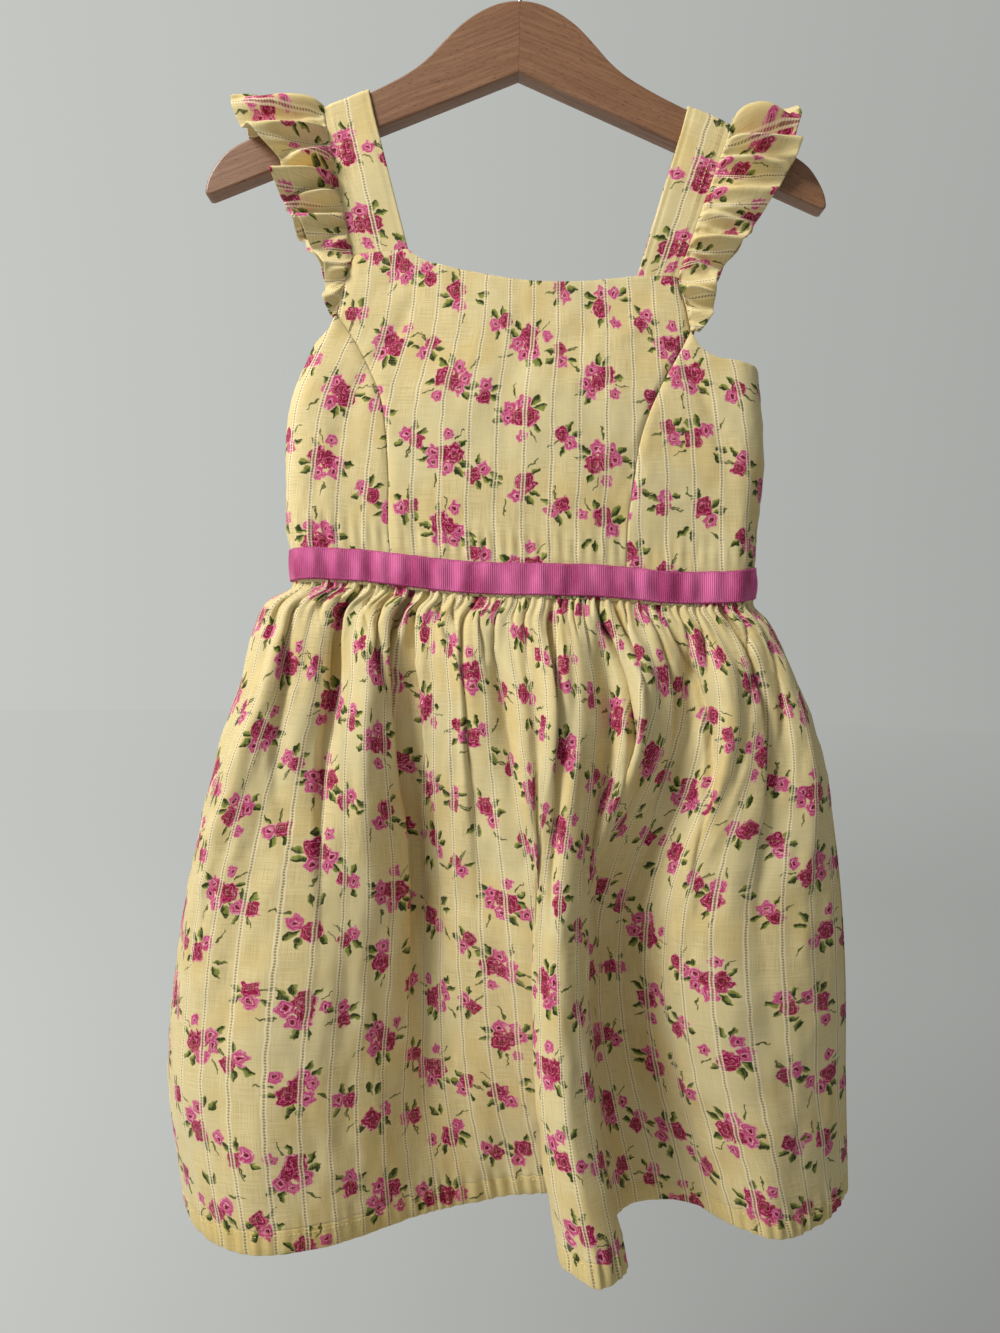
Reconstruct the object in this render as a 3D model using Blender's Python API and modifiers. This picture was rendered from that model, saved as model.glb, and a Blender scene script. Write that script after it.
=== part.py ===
"""A child's sundress on a flat wooden hanger.

Cotton cloth as walls: a bodice with princess seams, straps over the hanger, a ruffle on each
strap, a ribbon over the waist seam and a gathered skirt with one deep pipe fold.
Left and right are as seen from the front. The front faces -Y, and the origin is the inside
top of the hook.
"""

import math
from collections import namedtuple

import bmesh
import bpy
import numpy as np

# Lengths below are in millimetres
MM = 0.001

# Hanger: one flat board, with a straight lower edge and a hump at the hook
HANGER_THICK = 12.0
HANGER_HALF_SPAN = 180.4
HANGER_PEAK_Z = -60.4
HANGER_NOTCH_Z = -102.0
HANGER_TIP_Z = -178.5
HANGER_EDGE_ROUND = 1.2
Outline = namedtuple("Outline", "x z")
HANGER_UPPER = (
    Outline(0.0, HANGER_PEAK_Z),
    Outline(11.0, -61.9),
    Outline(20.0, -65.5),
    Outline(32.0, -73.3),
    Outline(44.5, -85.7),
    Outline(52.5, -94.5),
    Outline(61.0, -101.6),
    Outline(74.0, -109.5),
    Outline(85.0, -115.2),
    Outline(149.0, -141.7),
    Outline(162.0, -147.6),
    Outline(168.6, -152.6),
    Outline(174.5, -160.5),
    Outline(178.6, -169.5),
    Outline(HANGER_HALF_SPAN, HANGER_TIP_Z),
)

# Hook: bent wire set in a bore in the hanger's top
WIRE = 3.0
HOOK_INNER_RADIUS = 20.0
HOOK_START_ANGLE = -80.0
HOOK_OPEN_ANGLE = 40.0
HOOK_POINTS = 26
HOOK_NECK = 4.0
BORE = 3.8
BORE_DEPTH = 20.0
BORE_END_CLEAR = 2.0

# Cloth
WALL = 1.0
STRAP_WALL = 1.4
STRAP_CLEAR = 0.6
# A strap's bow off a straight line, and the length in which it turns over the hanger's edge
STRAP_BOW = 1.0
STRAP_TURN = 3.0
STRAP_ROWS = 8
HEM_WALL = 2.0
HEM_DEPTH = 12.0
RIBBON_WALL = 0.8
RIBBON_DEPTH = 18.0
RIBBON_CLEAR = 0.55
RIBBON_LIFT = 0.6
SEAM_GAP = 0.3
# Side seams turn sharply at the fold, so they stand a little further apart there
SIDE_GAP = 0.5
HALF_RING = 300.0

# Bodice ring: half depths in front and behind, the length of its rounded ends, and how much
# shallower it is beside them
RING_END = 15.0
RING_BOW = 0.12
RING_TURN_POINTS = 9
RING_FLAT_POINTS = 28
# Height of the ring that the skirt hangs from
WAIST_RING_Z = -404.0
Level = namedtuple("Level", "z left right front back")
BODICE_LEVELS = (
    Level(-200.0, -112.0, 136.0, 8.5, 8.5),
    Level(-230.0, -112.5, 137.5, 11.5, 11.0),
    Level(-252.0, -114.5, 139.5, 14.0, 12.5),
    Level(-272.0, -120.5, 142.5, 16.5, 14.0),
    Level(-292.0, -126.8, 145.0, 18.5, 15.0),
    Level(-334.0, -129.6, 147.0, 20.0, 15.5),
    Level(-366.0, -128.0, 144.0, 20.5, 15.0),
    Level(-384.0, -125.0, 143.0, 21.0, 14.5),
    Level(-410.0, -124.5, 143.0, 21.0, 14.5),
)
Point = namedtuple("Point", "x z")
# The centre front's outer edges: armhole first, then the princess seam down to the waist
PRINCESS_LEFT = (
    Point(-92.5, -211.0),
    Point(-97.5, -230.0),
    Point(-100.8, -246.4),
    Point(-85.4, -269.6),
    Point(-73.8, -295.4),
    Point(-68.7, -332.5),
    Point(-66.3, -382.3),
    Point(-65.5, -404.0),
)
PRINCESS_RIGHT = (
    Point(93.5, -220.0),
    Point(98.5, -237.0),
    Point(101.4, -252.1),
    Point(82.6, -289.4),
    Point(73.8, -314.4),
    Point(69.5, -345.0),
    Point(67.0, -380.0),
    Point(66.5, -408.0),
)
# The row of those tables where the armhole ends and the princess seam starts
ARMHOLE_POINT = 2
NECKLINE = (
    Point(-92.5, -211.0),
    Point(-61.7, -207.6),
    Point(-52.0, -213.5),
    Point(-36.0, -217.8),
    Point(-15.0, -222.0),
    Point(8.0, -224.8),
    Point(34.0, -224.8),
    Point(55.0, -222.6),
    Point(71.5, -220.6),
    Point(93.5, -220.0),
)
ARMHOLE_LEFT = (
    Point(-100.8, -246.4),
    Point(-106.5, -257.0),
    Point(-113.5, -263.5),
    Point(-119.9, -277.0),
    Point(-126.8, -292.0),
)
ARMHOLE_RIGHT = (
    Point(101.4, -252.1),
    Point(106.5, -260.5),
    Point(114.0, -266.0),
    Point(127.0, -268.2),
    Point(142.5, -272.0),
)
CENTRE_BACK_X = 8.0
Edge = namedtuple("Edge", "share z")
WAIST_FRONT = (
    Edge(0.0, -399.5),
    Edge(0.15, -399.2),
    Edge(0.26, -401.8),
    Edge(0.40, -405.2),
    Edge(0.66, -406.0),
    Edge(0.80, -408.0),
    Edge(0.90, -407.2),
    Edge(1.0, -402.6),
)
WAIST_BACK = (Edge(0.0, -399.5), Edge(0.5, -403.0), Edge(1.0, -402.6))

# Straps: top and base points of each edge, on the front and the back alike
Strap = namedtuple("Strap", "side top_inner top_outer base_inner base_outer")
STRAPS = (
    Strap("left", -86.5, -111.2, Point(-61.7, -207.6), Point(-92.5, -211.0)),
    Strap("right", 98.6, 122.6, Point(71.5, -220.6), Point(93.5, -220.0)),
)

# Ruffles: for each wave its way along the seam, its reach outwards and its lift off the body
Wave = namedtuple("Wave", "along reach lift")
RUFFLE_LEFT = (
    Wave(0.0, 3, 0),
    Wave(0.03, 8, 5),
    Wave(0.07, 11, -2),
    Wave(0.11, 13, 7),
    Wave(0.15, 22, -3),
    Wave(0.20, 25, 11),
    Wave(0.25, 33, -4),
    Wave(0.30, 35, 13),
    Wave(0.34, 30, 0),
    Wave(0.38, 38, 14),
    Wave(0.43, 50, 4),
    Wave(0.48, 52, 7),
    Wave(0.53, 49, -1),
    Wave(0.58, 48, 12),
    Wave(0.63, 40, 2),
    Wave(0.68, 36, 14),
    Wave(0.73, 34, 0),
    Wave(0.78, 31, 12),
    Wave(0.84, 24, -3),
    Wave(0.89, 17, 7),
    Wave(0.95, 10, -1),
    Wave(1.0, 3, 0),
)
RUFFLE_RIGHT = (
    Wave(0.0, 4, 0),
    Wave(0.03, 12, 5),
    Wave(0.07, 17, -2),
    Wave(0.11, 20, 8),
    Wave(0.15, 23, -3),
    Wave(0.20, 29, 9),
    Wave(0.25, 33, -2),
    Wave(0.30, 37, 11),
    Wave(0.35, 40, 1),
    Wave(0.40, 42, 12),
    Wave(0.45, 38, 5),
    Wave(0.50, 40, 14),
    Wave(0.55, 39, 3),
    Wave(0.60, 42, 12),
    Wave(0.66, 36, 1),
    Wave(0.72, 34, 12),
    Wave(0.78, 29, -1),
    Wave(0.84, 24, 9),
    Wave(0.90, 16, -2),
    Wave(0.95, 10, 5),
    Wave(1.0, 4, 0),
)
RUFFLE_GATHERS = 26
RUFFLE_GATHER_DEPTH = 1.4
# The seam's direction is averaged over this many points, so that the ruffle turns softly
RUFFLE_SMOOTHING = 9

# Skirt: outline from the waist (down 0) to the hem (down 1)
HEM_Z = -765.0
SKIRT_DROP = 361.0
BACK_HEM_LIFT = 9.0
WAIST_COLLAR = 0.008
Span = namedtuple("Span", "down left right")
SKIRT_SPANS = (
    Span(0.0, -124.5, 143.0),
    Span(WAIST_COLLAR, -124.7, 143.2),
    Span(0.03, -137.0, 150.5),
    Span(0.08, -145.5, 160.5),
    Span(0.15, -151.0, 172.5),
    Span(0.25, -162.5, 186.0),
    Span(0.40, -175.0, 196.5),
    Span(0.60, -187.5, 205.0),
    Span(0.80, -194.3, 209.5),
    Span(1.0, -187.0, 215.0),
)
# Each line runs from waist to hem; out is how far it stands in front of the hanger's middle
Fold = namedtuple("Fold", "name mid_x mid_out hem_x hem_out hem_lift")
FRONT_FOLDS = (
    Fold("left seam", -182.5, -5, -187, -22, 6),
    Fold("left turn", -180, 8, -178, 0, 2),
    Fold("left corner", -168, 20, -159, 29, 0),
    Fold("left crest", -140, 27, -130, 44, 0),
    Fold("left brow", -108, 28, -106, 40, 0),
    Fold("left slope", -78, 22, -76, 26, 0),
    Fold("dark lip", -56, 10, -52, 9, 0),
    Fold("dark valley", -42, -5, -29, -7, 0),
    Fold("centre rise", -22, 8, 1, -17, 1),
    Fold("centre valley", 0, 20, 25, -19, 4),
    Fold("pipe foot", 14, 30, 39, -16, 6),
    Fold("pipe left", 22, 40, 40, 54, 1),
    Fold("pipe crest", 33, 45, 54.5, 67, 0),
    Fold("pipe right", 43, 38, 68, 57, 0),
    Fold("pipe back", 49, 16, 68.5, 8, 1),
    Fold("right foot", 58, -2, 82, -14, 2),
    Fold("right valley", 72, -8, 100, -20, 2),
    Fold("right lip", 90, 4, 121, -16, 1),
    Fold("right rise", 106, 16, 141, 6, 0),
    Fold("right crest", 128, 23, 160, 17, 0),
    Fold("right slope", 156, 20, 180, 9, 0),
    Fold("right turn", 187, 9, 203, -9, 4),
    Fold("right seam", 201, -5, 215, -22, 8),
)
PUFF = 6.0
PUFF_DOWN = 0.06
MID_DOWN = 0.5
BACK_MID_OUT = -23.0
BACK_HEM_OUT = -31.0
BACK_SEAM_OUT = (0.0, 0.0, -5.0, -22.0)
BACK_END = 0.045
# Shorter folds that start in the gathers, then soft ones on the back
Crease = namedtuple("Crease", "share top bottom width out")
FRONT_CREASES = (
    Crease(0.10, 0.02, 0.55, 0.020, 5),
    Crease(0.19, 0.02, 0.45, 0.018, -6),
    Crease(0.25, 0.02, 0.60, 0.018, 6),
    Crease(0.31, 0.02, 0.75, 0.020, -11),
    Crease(0.40, 0.02, 0.50, 0.020, 6),
    Crease(0.46, 0.02, 0.40, 0.016, -7),
    Crease(0.55, 0.02, 0.40, 0.022, 7),
    Crease(0.64, 0.02, 0.60, 0.020, -11),
    Crease(0.70, 0.02, 0.55, 0.018, 6),
    Crease(0.78, 0.02, 0.45, 0.018, -7),
    Crease(0.84, 0.02, 0.60, 0.020, 6),
    Crease(0.92, 0.02, 0.50, 0.020, -5),
)
BACK_CREASES = (
    Crease(0.08, 0.02, 1.3, 0.040, -8),
    Crease(0.17, 0.05, 1.4, 0.030, 5),
    Crease(0.26, 0.02, 1.5, 0.045, -11),
    Crease(0.37, 0.04, 1.3, 0.030, 4),
    Crease(0.46, 0.02, 1.4, 0.040, -9),
    Crease(0.55, 0.03, 1.3, 0.030, 4),
    Crease(0.64, 0.02, 1.5, 0.045, -12),
    Crease(0.75, 0.05, 1.3, 0.030, 5),
    Crease(0.84, 0.02, 1.4, 0.040, -9),
    Crease(0.93, 0.04, 1.3, 0.025, 3),
)
# A crease deepens over this part of the drop, and starts to fade at this share of its length
CREASE_RISE = 0.12
CREASE_HOLD = 0.45
CREASE_ENDS = 0.06
GATHERS = 30
GATHER_DEPTH = 2.4
GATHER_FADE = 0.22
GATHER_ENDS = 0.03
# Depth at the very seam, as a share of the full depth a little lower
GATHER_SEAM_SHARE = 0.55
# The gathers' depth and length swell and shrink across the panel
Swell = namedtuple("Swell", "half_waves by")
GATHER_SWELLS = (Swell(11.0, 0.35), Swell(29.0, 0.2))
GATHER_LENGTH_SWELL = Swell(17.0, 0.4)

# Mesh density
TOP_COLUMNS = 4 * GATHERS
SKIRT_TOP_ROWS = (0.0, WAIST_COLLAR, 0.035, 0.11)
SKIRT_LOW_ROWS = (0.20, 0.31, 0.43, 0.56, 0.69, 0.83, 1.0 - HEM_DEPTH / SKIRT_DROP, 1.0)
PANEL_ROWS = 8
ARMHOLE_ROWS = 2
SIDE_PACKING = 1.8
STRAP_COLUMNS = 4
RUFFLE_COLUMNS = 78
RUFFLE_ROWS = 3
RIBBON_COLUMNS = 32
# Ribbon columns stand closer where it turns round the sides
RIBBON_END_PACKING = 0.8


# Curves

def curve_through(keys, values, at):
    """A smooth curve through (keys, values), read at the places at."""
    keys, values, at = (np.asarray(v, float) for v in (keys, values, at))
    steps = np.diff(keys)
    slopes = np.diff(values) / steps
    inner = (slopes[:-1] * steps[1:] + slopes[1:] * steps[:-1]) / (steps[:-1] + steps[1:])
    tangents = np.concatenate([slopes[:1], inner, slopes[-1:]])
    i = np.clip(np.searchsorted(keys, at, side="right") - 1, 0, len(steps) - 1)
    t = np.clip((at - keys[i]) / steps[i], 0.0, 1.0)
    left = (1 + 2 * t) * (1 - t) ** 2 * values[i] + t * (1 - t) ** 2 * steps[i] * tangents[i]
    right = t * t * (3 - 2 * t) * values[i + 1] - t * t * (1 - t) * steps[i] * tangents[i + 1]
    return left + right


def column(table, name):
    return np.array([getattr(row, name) for row in table], float)


def read(table, key, name, at):
    """A named column of a table, read smoothly at places of its key column."""
    keys, values = column(table, key), column(table, name)
    if keys[0] > keys[-1]:
        keys, values = keys[::-1], values[::-1]
    return curve_through(keys, values, at)


def length_shares(points):
    """How far along a row of points each one lies, from 0 to 1."""
    lengths = np.concatenate([[0], np.cumsum(np.linalg.norm(np.diff(points, axis=0), axis=1))])
    return lengths / lengths[-1]


def rounded(points, steps=4):
    """A row of points with a smooth curve's points put between them."""
    points = np.asarray(points, float)
    keys = length_shares(points)
    fine = np.interp(np.arange(steps * (len(keys) - 1) + 1) / steps, np.arange(len(keys)), keys)
    return np.stack([curve_through(keys, values, fine) for values in points.T], -1)


def along(points, share):
    """Places at shares of the length of a row of points."""
    points = np.asarray(points, float)
    keys = length_shares(points)
    return np.stack([np.interp(share, keys, values) for values in points.T], -1)


def bell(x):
    """A soft bump: 1 at 0, nearly 0 past 2."""
    return np.exp(-np.square(x))


def ease(x):
    x = np.clip(x, 0.0, 1.0)
    return x * x * (3 - 2 * x)


# Bodice ring

def ring_line(z, side, grow=0.0):
    """The cloth's line round the front (side 1) or the back (side -1) at a height, seam to seam."""
    left = float(read(BODICE_LEVELS, "z", "left", z)) - grow
    right = float(read(BODICE_LEVELS, "z", "right", z)) + grow
    depth = float(read(BODICE_LEVELS, "z", "front" if side > 0 else "back", z)) + grow
    turn = np.linspace(0, math.pi / 2, RING_TURN_POINTS)
    end = RING_END + grow
    x_left = left + end * (1 - np.cos(turn))
    x_flat = np.linspace(left + end, right - end, RING_FLAT_POINTS + 2)[1:-1]
    x_right = right - end * (1 - np.cos(turn[::-1]))
    bow = 1 - RING_BOW * np.cos(np.linspace(0, 2 * math.pi, RING_FLAT_POINTS + 2)[1:-1])
    corner = (1 - RING_BOW) * np.sin(turn)
    rise = np.concatenate([corner, bow, corner[::-1]])
    return np.concatenate([x_left, x_flat, x_right]), -side * depth * rise


def ring_point(share, z, side, grow=0.0):
    """The point of the bodice ring at a share of the way from its left to its right seam."""
    xs, ys = ring_line(z, side, grow)
    lengths = np.concatenate([[0], np.cumsum(np.hypot(np.diff(xs), np.diff(ys)))])
    keys = lengths / lengths[-1]
    return np.interp(share, keys, xs), np.interp(share, keys, ys)


def ring_share(x, z, side):
    """The share at which the bodice ring passes x."""
    xs, ys = ring_line(z, side)
    lengths = np.concatenate([[0], np.cumsum(np.hypot(np.diff(xs), np.diff(ys)))])
    return float(np.interp(x, xs, lengths / lengths[-1]))


def waist_z(share, side):
    return read(WAIST_FRONT if side > 0 else WAIST_BACK, "share", "z", share)


# Patches of cloth on the bodice, drawn flat as (way round the ring, z), both in millimetres

def patch(top, bottom, first, last, across):
    """Rows of flat points between a first and a last edge, which hold a point for each row."""
    grid = []
    for v, start, stop in zip(np.linspace(0, 1, len(first)), first, last):
        row = []
        for u in across:
            ruled = (1 - v) * top(u) + v * bottom(u) + (1 - u) * start + u * stop
            upper = (1 - u) * top(0) + u * top(1)
            lower = (1 - u) * bottom(0) + u * bottom(1)
            row.append(ruled - (1 - v) * upper - v * lower)
        grid.append(row)
    return grid


def on_ring(points, side, by=0.0):
    """Edge points (x, z) as flat points on one side of the bodice, moved along it by a distance."""
    return np.array([[ring_share(p.x, p.z, side) * HALF_RING + by, p.z] for p in points])


def seam_foot(way, side):
    return float(waist_z(way / HALF_RING, side)) + SEAM_GAP / 2


def princess_edge(points, side, by):
    """A princess seam from the armhole to the waist, a point for each row of the panels beside it."""
    edge = on_ring(points[ARMHOLE_POINT:], side, by)
    edge[-1, 1] = seam_foot(edge[-1, 0], side)
    return along(rounded(edge), np.linspace(0, 1, PANEL_ROWS + 1))


def centre_edge(points, side, by):
    """The centre front's outer edge: the upper armhole, then the princess seam."""
    armhole = rounded(on_ring(points[: ARMHOLE_POINT + 1], side, by))
    armhole = along(armhole, np.linspace(0, 1, ARMHOLE_ROWS + 1))
    return np.concatenate([armhole[:-1], princess_edge(points, side, by)])


def side_seam(top_z, way, side):
    """An upright seam from a height down to the waist."""
    return np.array([[way, z] for z in np.linspace(top_z, seam_foot(way, side), PANEL_ROWS + 1)])


def panel_grid(tops, counts, first, last, side):
    """A bodice panel's rows of points.

    tops are the stretches of its top edge, with a column count for each. Columns stand closer
    towards an edge that is a side seam, where the cloth turns round.
    """
    top = np.concatenate(tops)
    bounds = length_shares(top)
    ends = np.cumsum([len(stretch) for stretch in tops])
    marks = [0.0] + [bounds[end - 1] for end in ends]
    across = [0.0]
    for start, stop, count in zip(marks, marks[1:], counts):
        even = np.linspace(0, 1, count + 1)[1:]
        if start == 0 and first[0][0] < SIDE_GAP:
            even = even**SIDE_PACKING
        if stop == 1 and last[0][0] > HALF_RING - SIDE_GAP:
            even = 1 - (1 - even) ** SIDE_PACKING
        across.extend(start + (stop - start) * even)

    def bottom(u):
        way = first[-1][0] + u * (last[-1][0] - first[-1][0])
        return np.array([way, seam_foot(way, side)])

    flat = patch(lambda u: along(top, u), bottom, first, last, across)
    return [[(*ring_point(way / HALF_RING, z, side), z) for way, z in row] for row in flat]


def front_grids():
    """The centre front between its princess seams, and the two side fronts."""
    half = SEAM_GAP / 2
    first_way, last_way = SIDE_GAP / 2, HALF_RING - SIDE_GAP / 2
    curve = rounded(on_ring(NECKLINE[1:-1], 1))
    under_left, under_right = on_ring(NECKLINE[:2], 1, half), on_ring(NECKLINE[-2:], 1, -half)
    under_left[-1], under_right[0] = curve[0], curve[-1]
    centre = panel_grid(
        [under_left, curve, under_right],
        (3, 11, 3),
        centre_edge(PRINCESS_LEFT, 1, half),
        centre_edge(PRINCESS_RIGHT, 1, -half),
        1,
    )
    armhole = rounded(on_ring(ARMHOLE_LEFT[::-1], 1, -half))
    armhole[0, 0] = first_way
    outer = side_seam(ARMHOLE_LEFT[-1].z, first_way, 1)
    left = panel_grid([armhole], (8,), outer, princess_edge(PRINCESS_LEFT, 1, -half), 1)
    armhole = rounded(on_ring(ARMHOLE_RIGHT, 1, half))
    armhole[-1, 0] = last_way
    outer = side_seam(ARMHOLE_RIGHT[-1].z, last_way, 1)
    right = panel_grid([armhole], (8,), princess_edge(PRINCESS_RIGHT, 1, half), outer, 1)
    return {
        "bodice_front_centre": centre,
        "bodice_side_front_left": left,
        "bodice_side_front_right": right,
    }


def back_grids():
    """The two halves of the back, from the side seams to the closed centre back seam."""
    half = SEAM_GAP / 2
    first_way, last_way = SIDE_GAP / 2, HALF_RING - SIDE_GAP / 2
    middle = Point(CENTRE_BACK_X, float(read(NECKLINE, "x", "z", CENTRE_BACK_X)))
    way = ring_share(middle.x, middle.z, -1) * HALF_RING
    armhole = rounded(on_ring(ARMHOLE_LEFT[::-1] + PRINCESS_LEFT[1::-1], -1))
    armhole[0, 0] = first_way
    neck = rounded(on_ring([p for p in NECKLINE[1:] if p.x < CENTRE_BACK_X] + [middle], -1))
    neck[-1, 0] -= half
    left = panel_grid(
        [armhole, on_ring(NECKLINE[:2], -1), neck],
        (9, 3, 6),
        side_seam(ARMHOLE_LEFT[-1].z, first_way, -1),
        side_seam(middle.z, way - half, -1),
        -1,
    )
    armhole = rounded(on_ring(PRINCESS_RIGHT[:2] + ARMHOLE_RIGHT, -1))
    armhole[-1, 0] = last_way
    neck = rounded(on_ring([middle] + [p for p in NECKLINE[:-1] if p.x > CENTRE_BACK_X], -1))
    neck[0, 0] += half
    right = panel_grid(
        [neck, on_ring(NECKLINE[-2:], -1), armhole],
        (6, 3, 9),
        side_seam(middle.z, way + half, -1),
        side_seam(ARMHOLE_RIGHT[-1].z, last_way, -1),
        -1,
    )
    return {"bodice_back_left": left, "bodice_back_right": right}


# Straps and ruffles

def hanger_top(x):
    return np.interp(abs(x), column(HANGER_UPPER, "x"), column(HANGER_UPPER, "z"))


def strap_line(top_x, base):
    """One lengthwise line of a strap, from its front base over the hanger to its back base."""
    peak = float(hanger_top(top_x)) + STRAP_CLEAR + STRAP_WALL / 2
    reach = HANGER_THICK / 2 + STRAP_CLEAR + STRAP_WALL / 2
    points = []
    for side in (1, -1):
        foot_y = ring_point(ring_share(base.x, base.z, side), base.z, side)[1]
        rows = []
        for share in np.arange(STRAP_ROWS) / STRAP_ROWS:
            bow = STRAP_BOW * math.sin(math.pi * share)
            x = base.x + share * (top_x - base.x)
            y = (1 - share) * foot_y - side * (share * reach + bow)
            rows.append((x, y, base.z + SEAM_GAP + share * (peak - STRAP_TURN - base.z)))
        rows.append((top_x, -side * reach, peak - 0.5 * STRAP_TURN))
        rows.append((top_x, -side * (reach - 0.4 * STRAP_TURN), peak))
        points.append(rows)
    return points[0] + [(top_x, 0.0, peak)] + points[1][::-1]


def strap_grid(strap):
    grid = []
    for share in np.linspace(0, 1, STRAP_COLUMNS + 1):
        base = Point(
            strap.base_inner.x + share * (strap.base_outer.x - strap.base_inner.x),
            strap.base_inner.z + share * (strap.base_outer.z - strap.base_inner.z),
        )
        top_x = strap.top_inner + share * (strap.top_outer - strap.top_inner)
        grid.append(strap_line(top_x, base))
    return grid


def ruffle_seam(strap, princess):
    """The line that a ruffle is gathered on: up the armhole, over the strap and down the back."""
    outward = -1 if strap.side == "left" else 1
    over = strap_line(strap.top_outer, strap.base_outer)
    ends = []
    for side in (1, -1):
        armhole = princess[ARMHOLE_POINT:0:-1]
        ends.append([(*ring_point(ring_share(p.x, p.z, side), p.z, side), p.z) for p in armhole])
    line = np.array(ends[0] + over + ends[1][::-1])
    line[:, 0] += outward * (SEAM_GAP + WALL / 2)
    return line


def ruffle_grid(strap, princess, waves):
    """A ruffle's rows, from its gathered seam to its free edge."""
    outward = np.array([-1.0 if strap.side == "left" else 1.0, 0.0, 0.0])
    t = np.linspace(0, 1, RUFFLE_COLUMNS + 1)
    seam = along(ruffle_seam(strap, princess), t)
    tangent = np.gradient(seam, axis=0)
    tangent[:, 0] = 0
    padded = np.pad(tangent, ((RUFFLE_SMOOTHING // 2, RUFFLE_SMOOTHING // 2), (0, 0)), mode="edge")
    window = np.ones(RUFFLE_SMOOTHING) / RUFFLE_SMOOTHING
    smooth = np.stack([np.convolve(axis, window, "valid") for axis in padded.T], -1)
    smooth /= np.linalg.norm(smooth, axis=1, keepdims=True)
    away = np.cross(smooth, outward) * (1 if strap.side == "left" else -1)
    reach, lift = read(waves, "along", "reach", t), read(waves, "along", "lift", t)
    gather = RUFFLE_GATHER_DEPTH * np.sin(2 * math.pi * RUFFLE_GATHERS * t)
    grid = []
    for r in np.linspace(0, 1, RUFFLE_ROWS + 1):
        pinch = gather * ease(r * 6) * (1 - r)
        row = seam + outward * (reach * r)[:, None] + away * (lift * r**1.2 + pinch)[:, None]
        grid.append([tuple(p) for p in row])
    return grid


# Skirt

FOLD_SHARES = length_shares(np.stack([column(FRONT_FOLDS, "hem_x"), column(FRONT_FOLDS, "hem_out")], -1))


def gather_ripple(share, down, side):
    """The fine gathers under the waist, uneven in depth and length."""
    turns = math.pi * share
    uneven = 1 + sum(swell.by * np.sin(swell.half_waves * turns + side) for swell in GATHER_SWELLS)
    length = GATHER_LENGTH_SWELL
    fade = GATHER_FADE * (1 + length.by * np.sin(length.half_waves * turns + 2 * side))
    opened = GATHER_SEAM_SHARE + (1 - GATHER_SEAM_SHARE) * ease(down / GATHER_ENDS)
    ends = ease(share / GATHER_ENDS) * ease((1 - share) / GATHER_ENDS)
    depth = GATHER_DEPTH * uneven * opened * ends * (1 - ease(down / fade))
    return depth * np.cos(2 * GATHERS * turns)


def crease_sum(creases, share, down):
    total = np.zeros_like(share)
    for crease in creases:
        length = crease.bottom - crease.top
        place = (down - crease.top) / length
        if 0 < place < 1:
            fades = ease((place - CREASE_HOLD) / (1 - CREASE_HOLD))
            grows = ease(place * length / CREASE_RISE) * (1 - fades)
            total += crease.out * grows * bell((share - crease.share) / crease.width)
    return total


def skirt_span(down):
    return float(read(SKIRT_SPANS, "down", "left", down)), float(read(SKIRT_SPANS, "down", "right", down))


def skirt_front_row(share, down):
    """Points of the front skirt's cloth at one level."""
    waist_left, waist_right = skirt_span(0)
    waist = np.array([ring_point(s, WAIST_RING_Z, 1) for s in FOLD_SHARES])
    mid_left, mid_right = skirt_span(MID_DOWN)
    hem_left, hem_right = skirt_span(1)
    left, right = skirt_span(down)
    levels = (0.0, PUFF_DOWN, MID_DOWN, 1.0)
    near_seam = np.sin(math.pi * np.clip(FOLD_SHARES, 0, 1)) ** 0.5
    at_waist = (waist[:, 0] - waist_left) / (waist_right - waist_left)
    at_mid = (column(FRONT_FOLDS, "mid_x") - mid_left) / (mid_right - mid_left)
    at_hem = (column(FRONT_FOLDS, "hem_x") - hem_left) / (hem_right - hem_left)
    waist_out = -waist[:, 1]
    puff_out = waist_out + PUFF * near_seam
    outs = (waist_out, puff_out, column(FRONT_FOLDS, "mid_out"), column(FRONT_FOLDS, "hem_out"))
    place = [curve_through(levels, (a, a, m, h), down) for a, m, h in zip(at_waist, at_mid, at_hem)]
    out = [curve_through(levels, values, down) for values in zip(*outs)]
    x = left + (right - left) * curve_through(FOLD_SHARES, place, share)
    inner = ease(share / CREASE_ENDS) * ease((1 - share) / CREASE_ENDS)
    out = curve_through(FOLD_SHARES, out, share)
    out = out + gather_ripple(share, down, 1) + inner * crease_sum(FRONT_CREASES, share, down)
    top = waist_z(share, 1) - SEAM_GAP / 2
    foot = HEM_Z + curve_through(FOLD_SHARES, column(FRONT_FOLDS, "hem_lift"), share)
    return np.stack([x, -out, top + (foot - top) * down], -1)


def skirt_back_row(share, down):
    """Points of the back skirt's cloth at one level."""
    waist = np.array([ring_point(s, WAIST_RING_Z, -1) for s in share])
    left, right = skirt_span(down)
    waist_left, waist_right = skirt_span(0)
    at_waist = (waist[:, 0] - waist_left) / (waist_right - waist_left)
    levels = (0.0, PUFF_DOWN, MID_DOWN, 1.0)
    seam = float(curve_through(levels, BACK_SEAM_OUT, down))
    to_end = np.minimum(share, 1 - share) / BACK_END
    turn = np.sqrt(np.clip(1 - np.square(1 - np.clip(to_end, 0, 1)), 0, 1))
    flat = [curve_through(levels, (-y, -y - PUFF, BACK_MID_OUT, BACK_HEM_OUT), down) for y in waist[:, 1]]
    settled = ease(down / PUFF_DOWN)
    turned = seam + (np.array(flat) - seam) * turn
    out = (1 - settled) * np.array(flat) + settled * turned
    out = out + turn * (gather_ripple(share, down, -1) + crease_sum(BACK_CREASES, share, down))
    place = at_waist + (share - at_waist) * settled
    x = left + (right - left) * place
    top = waist_z(share, -1) - SEAM_GAP / 2
    foot = HEM_Z + BACK_HEM_LIFT
    return np.stack([x, -out, top + (foot - top) * down], -1)


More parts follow.
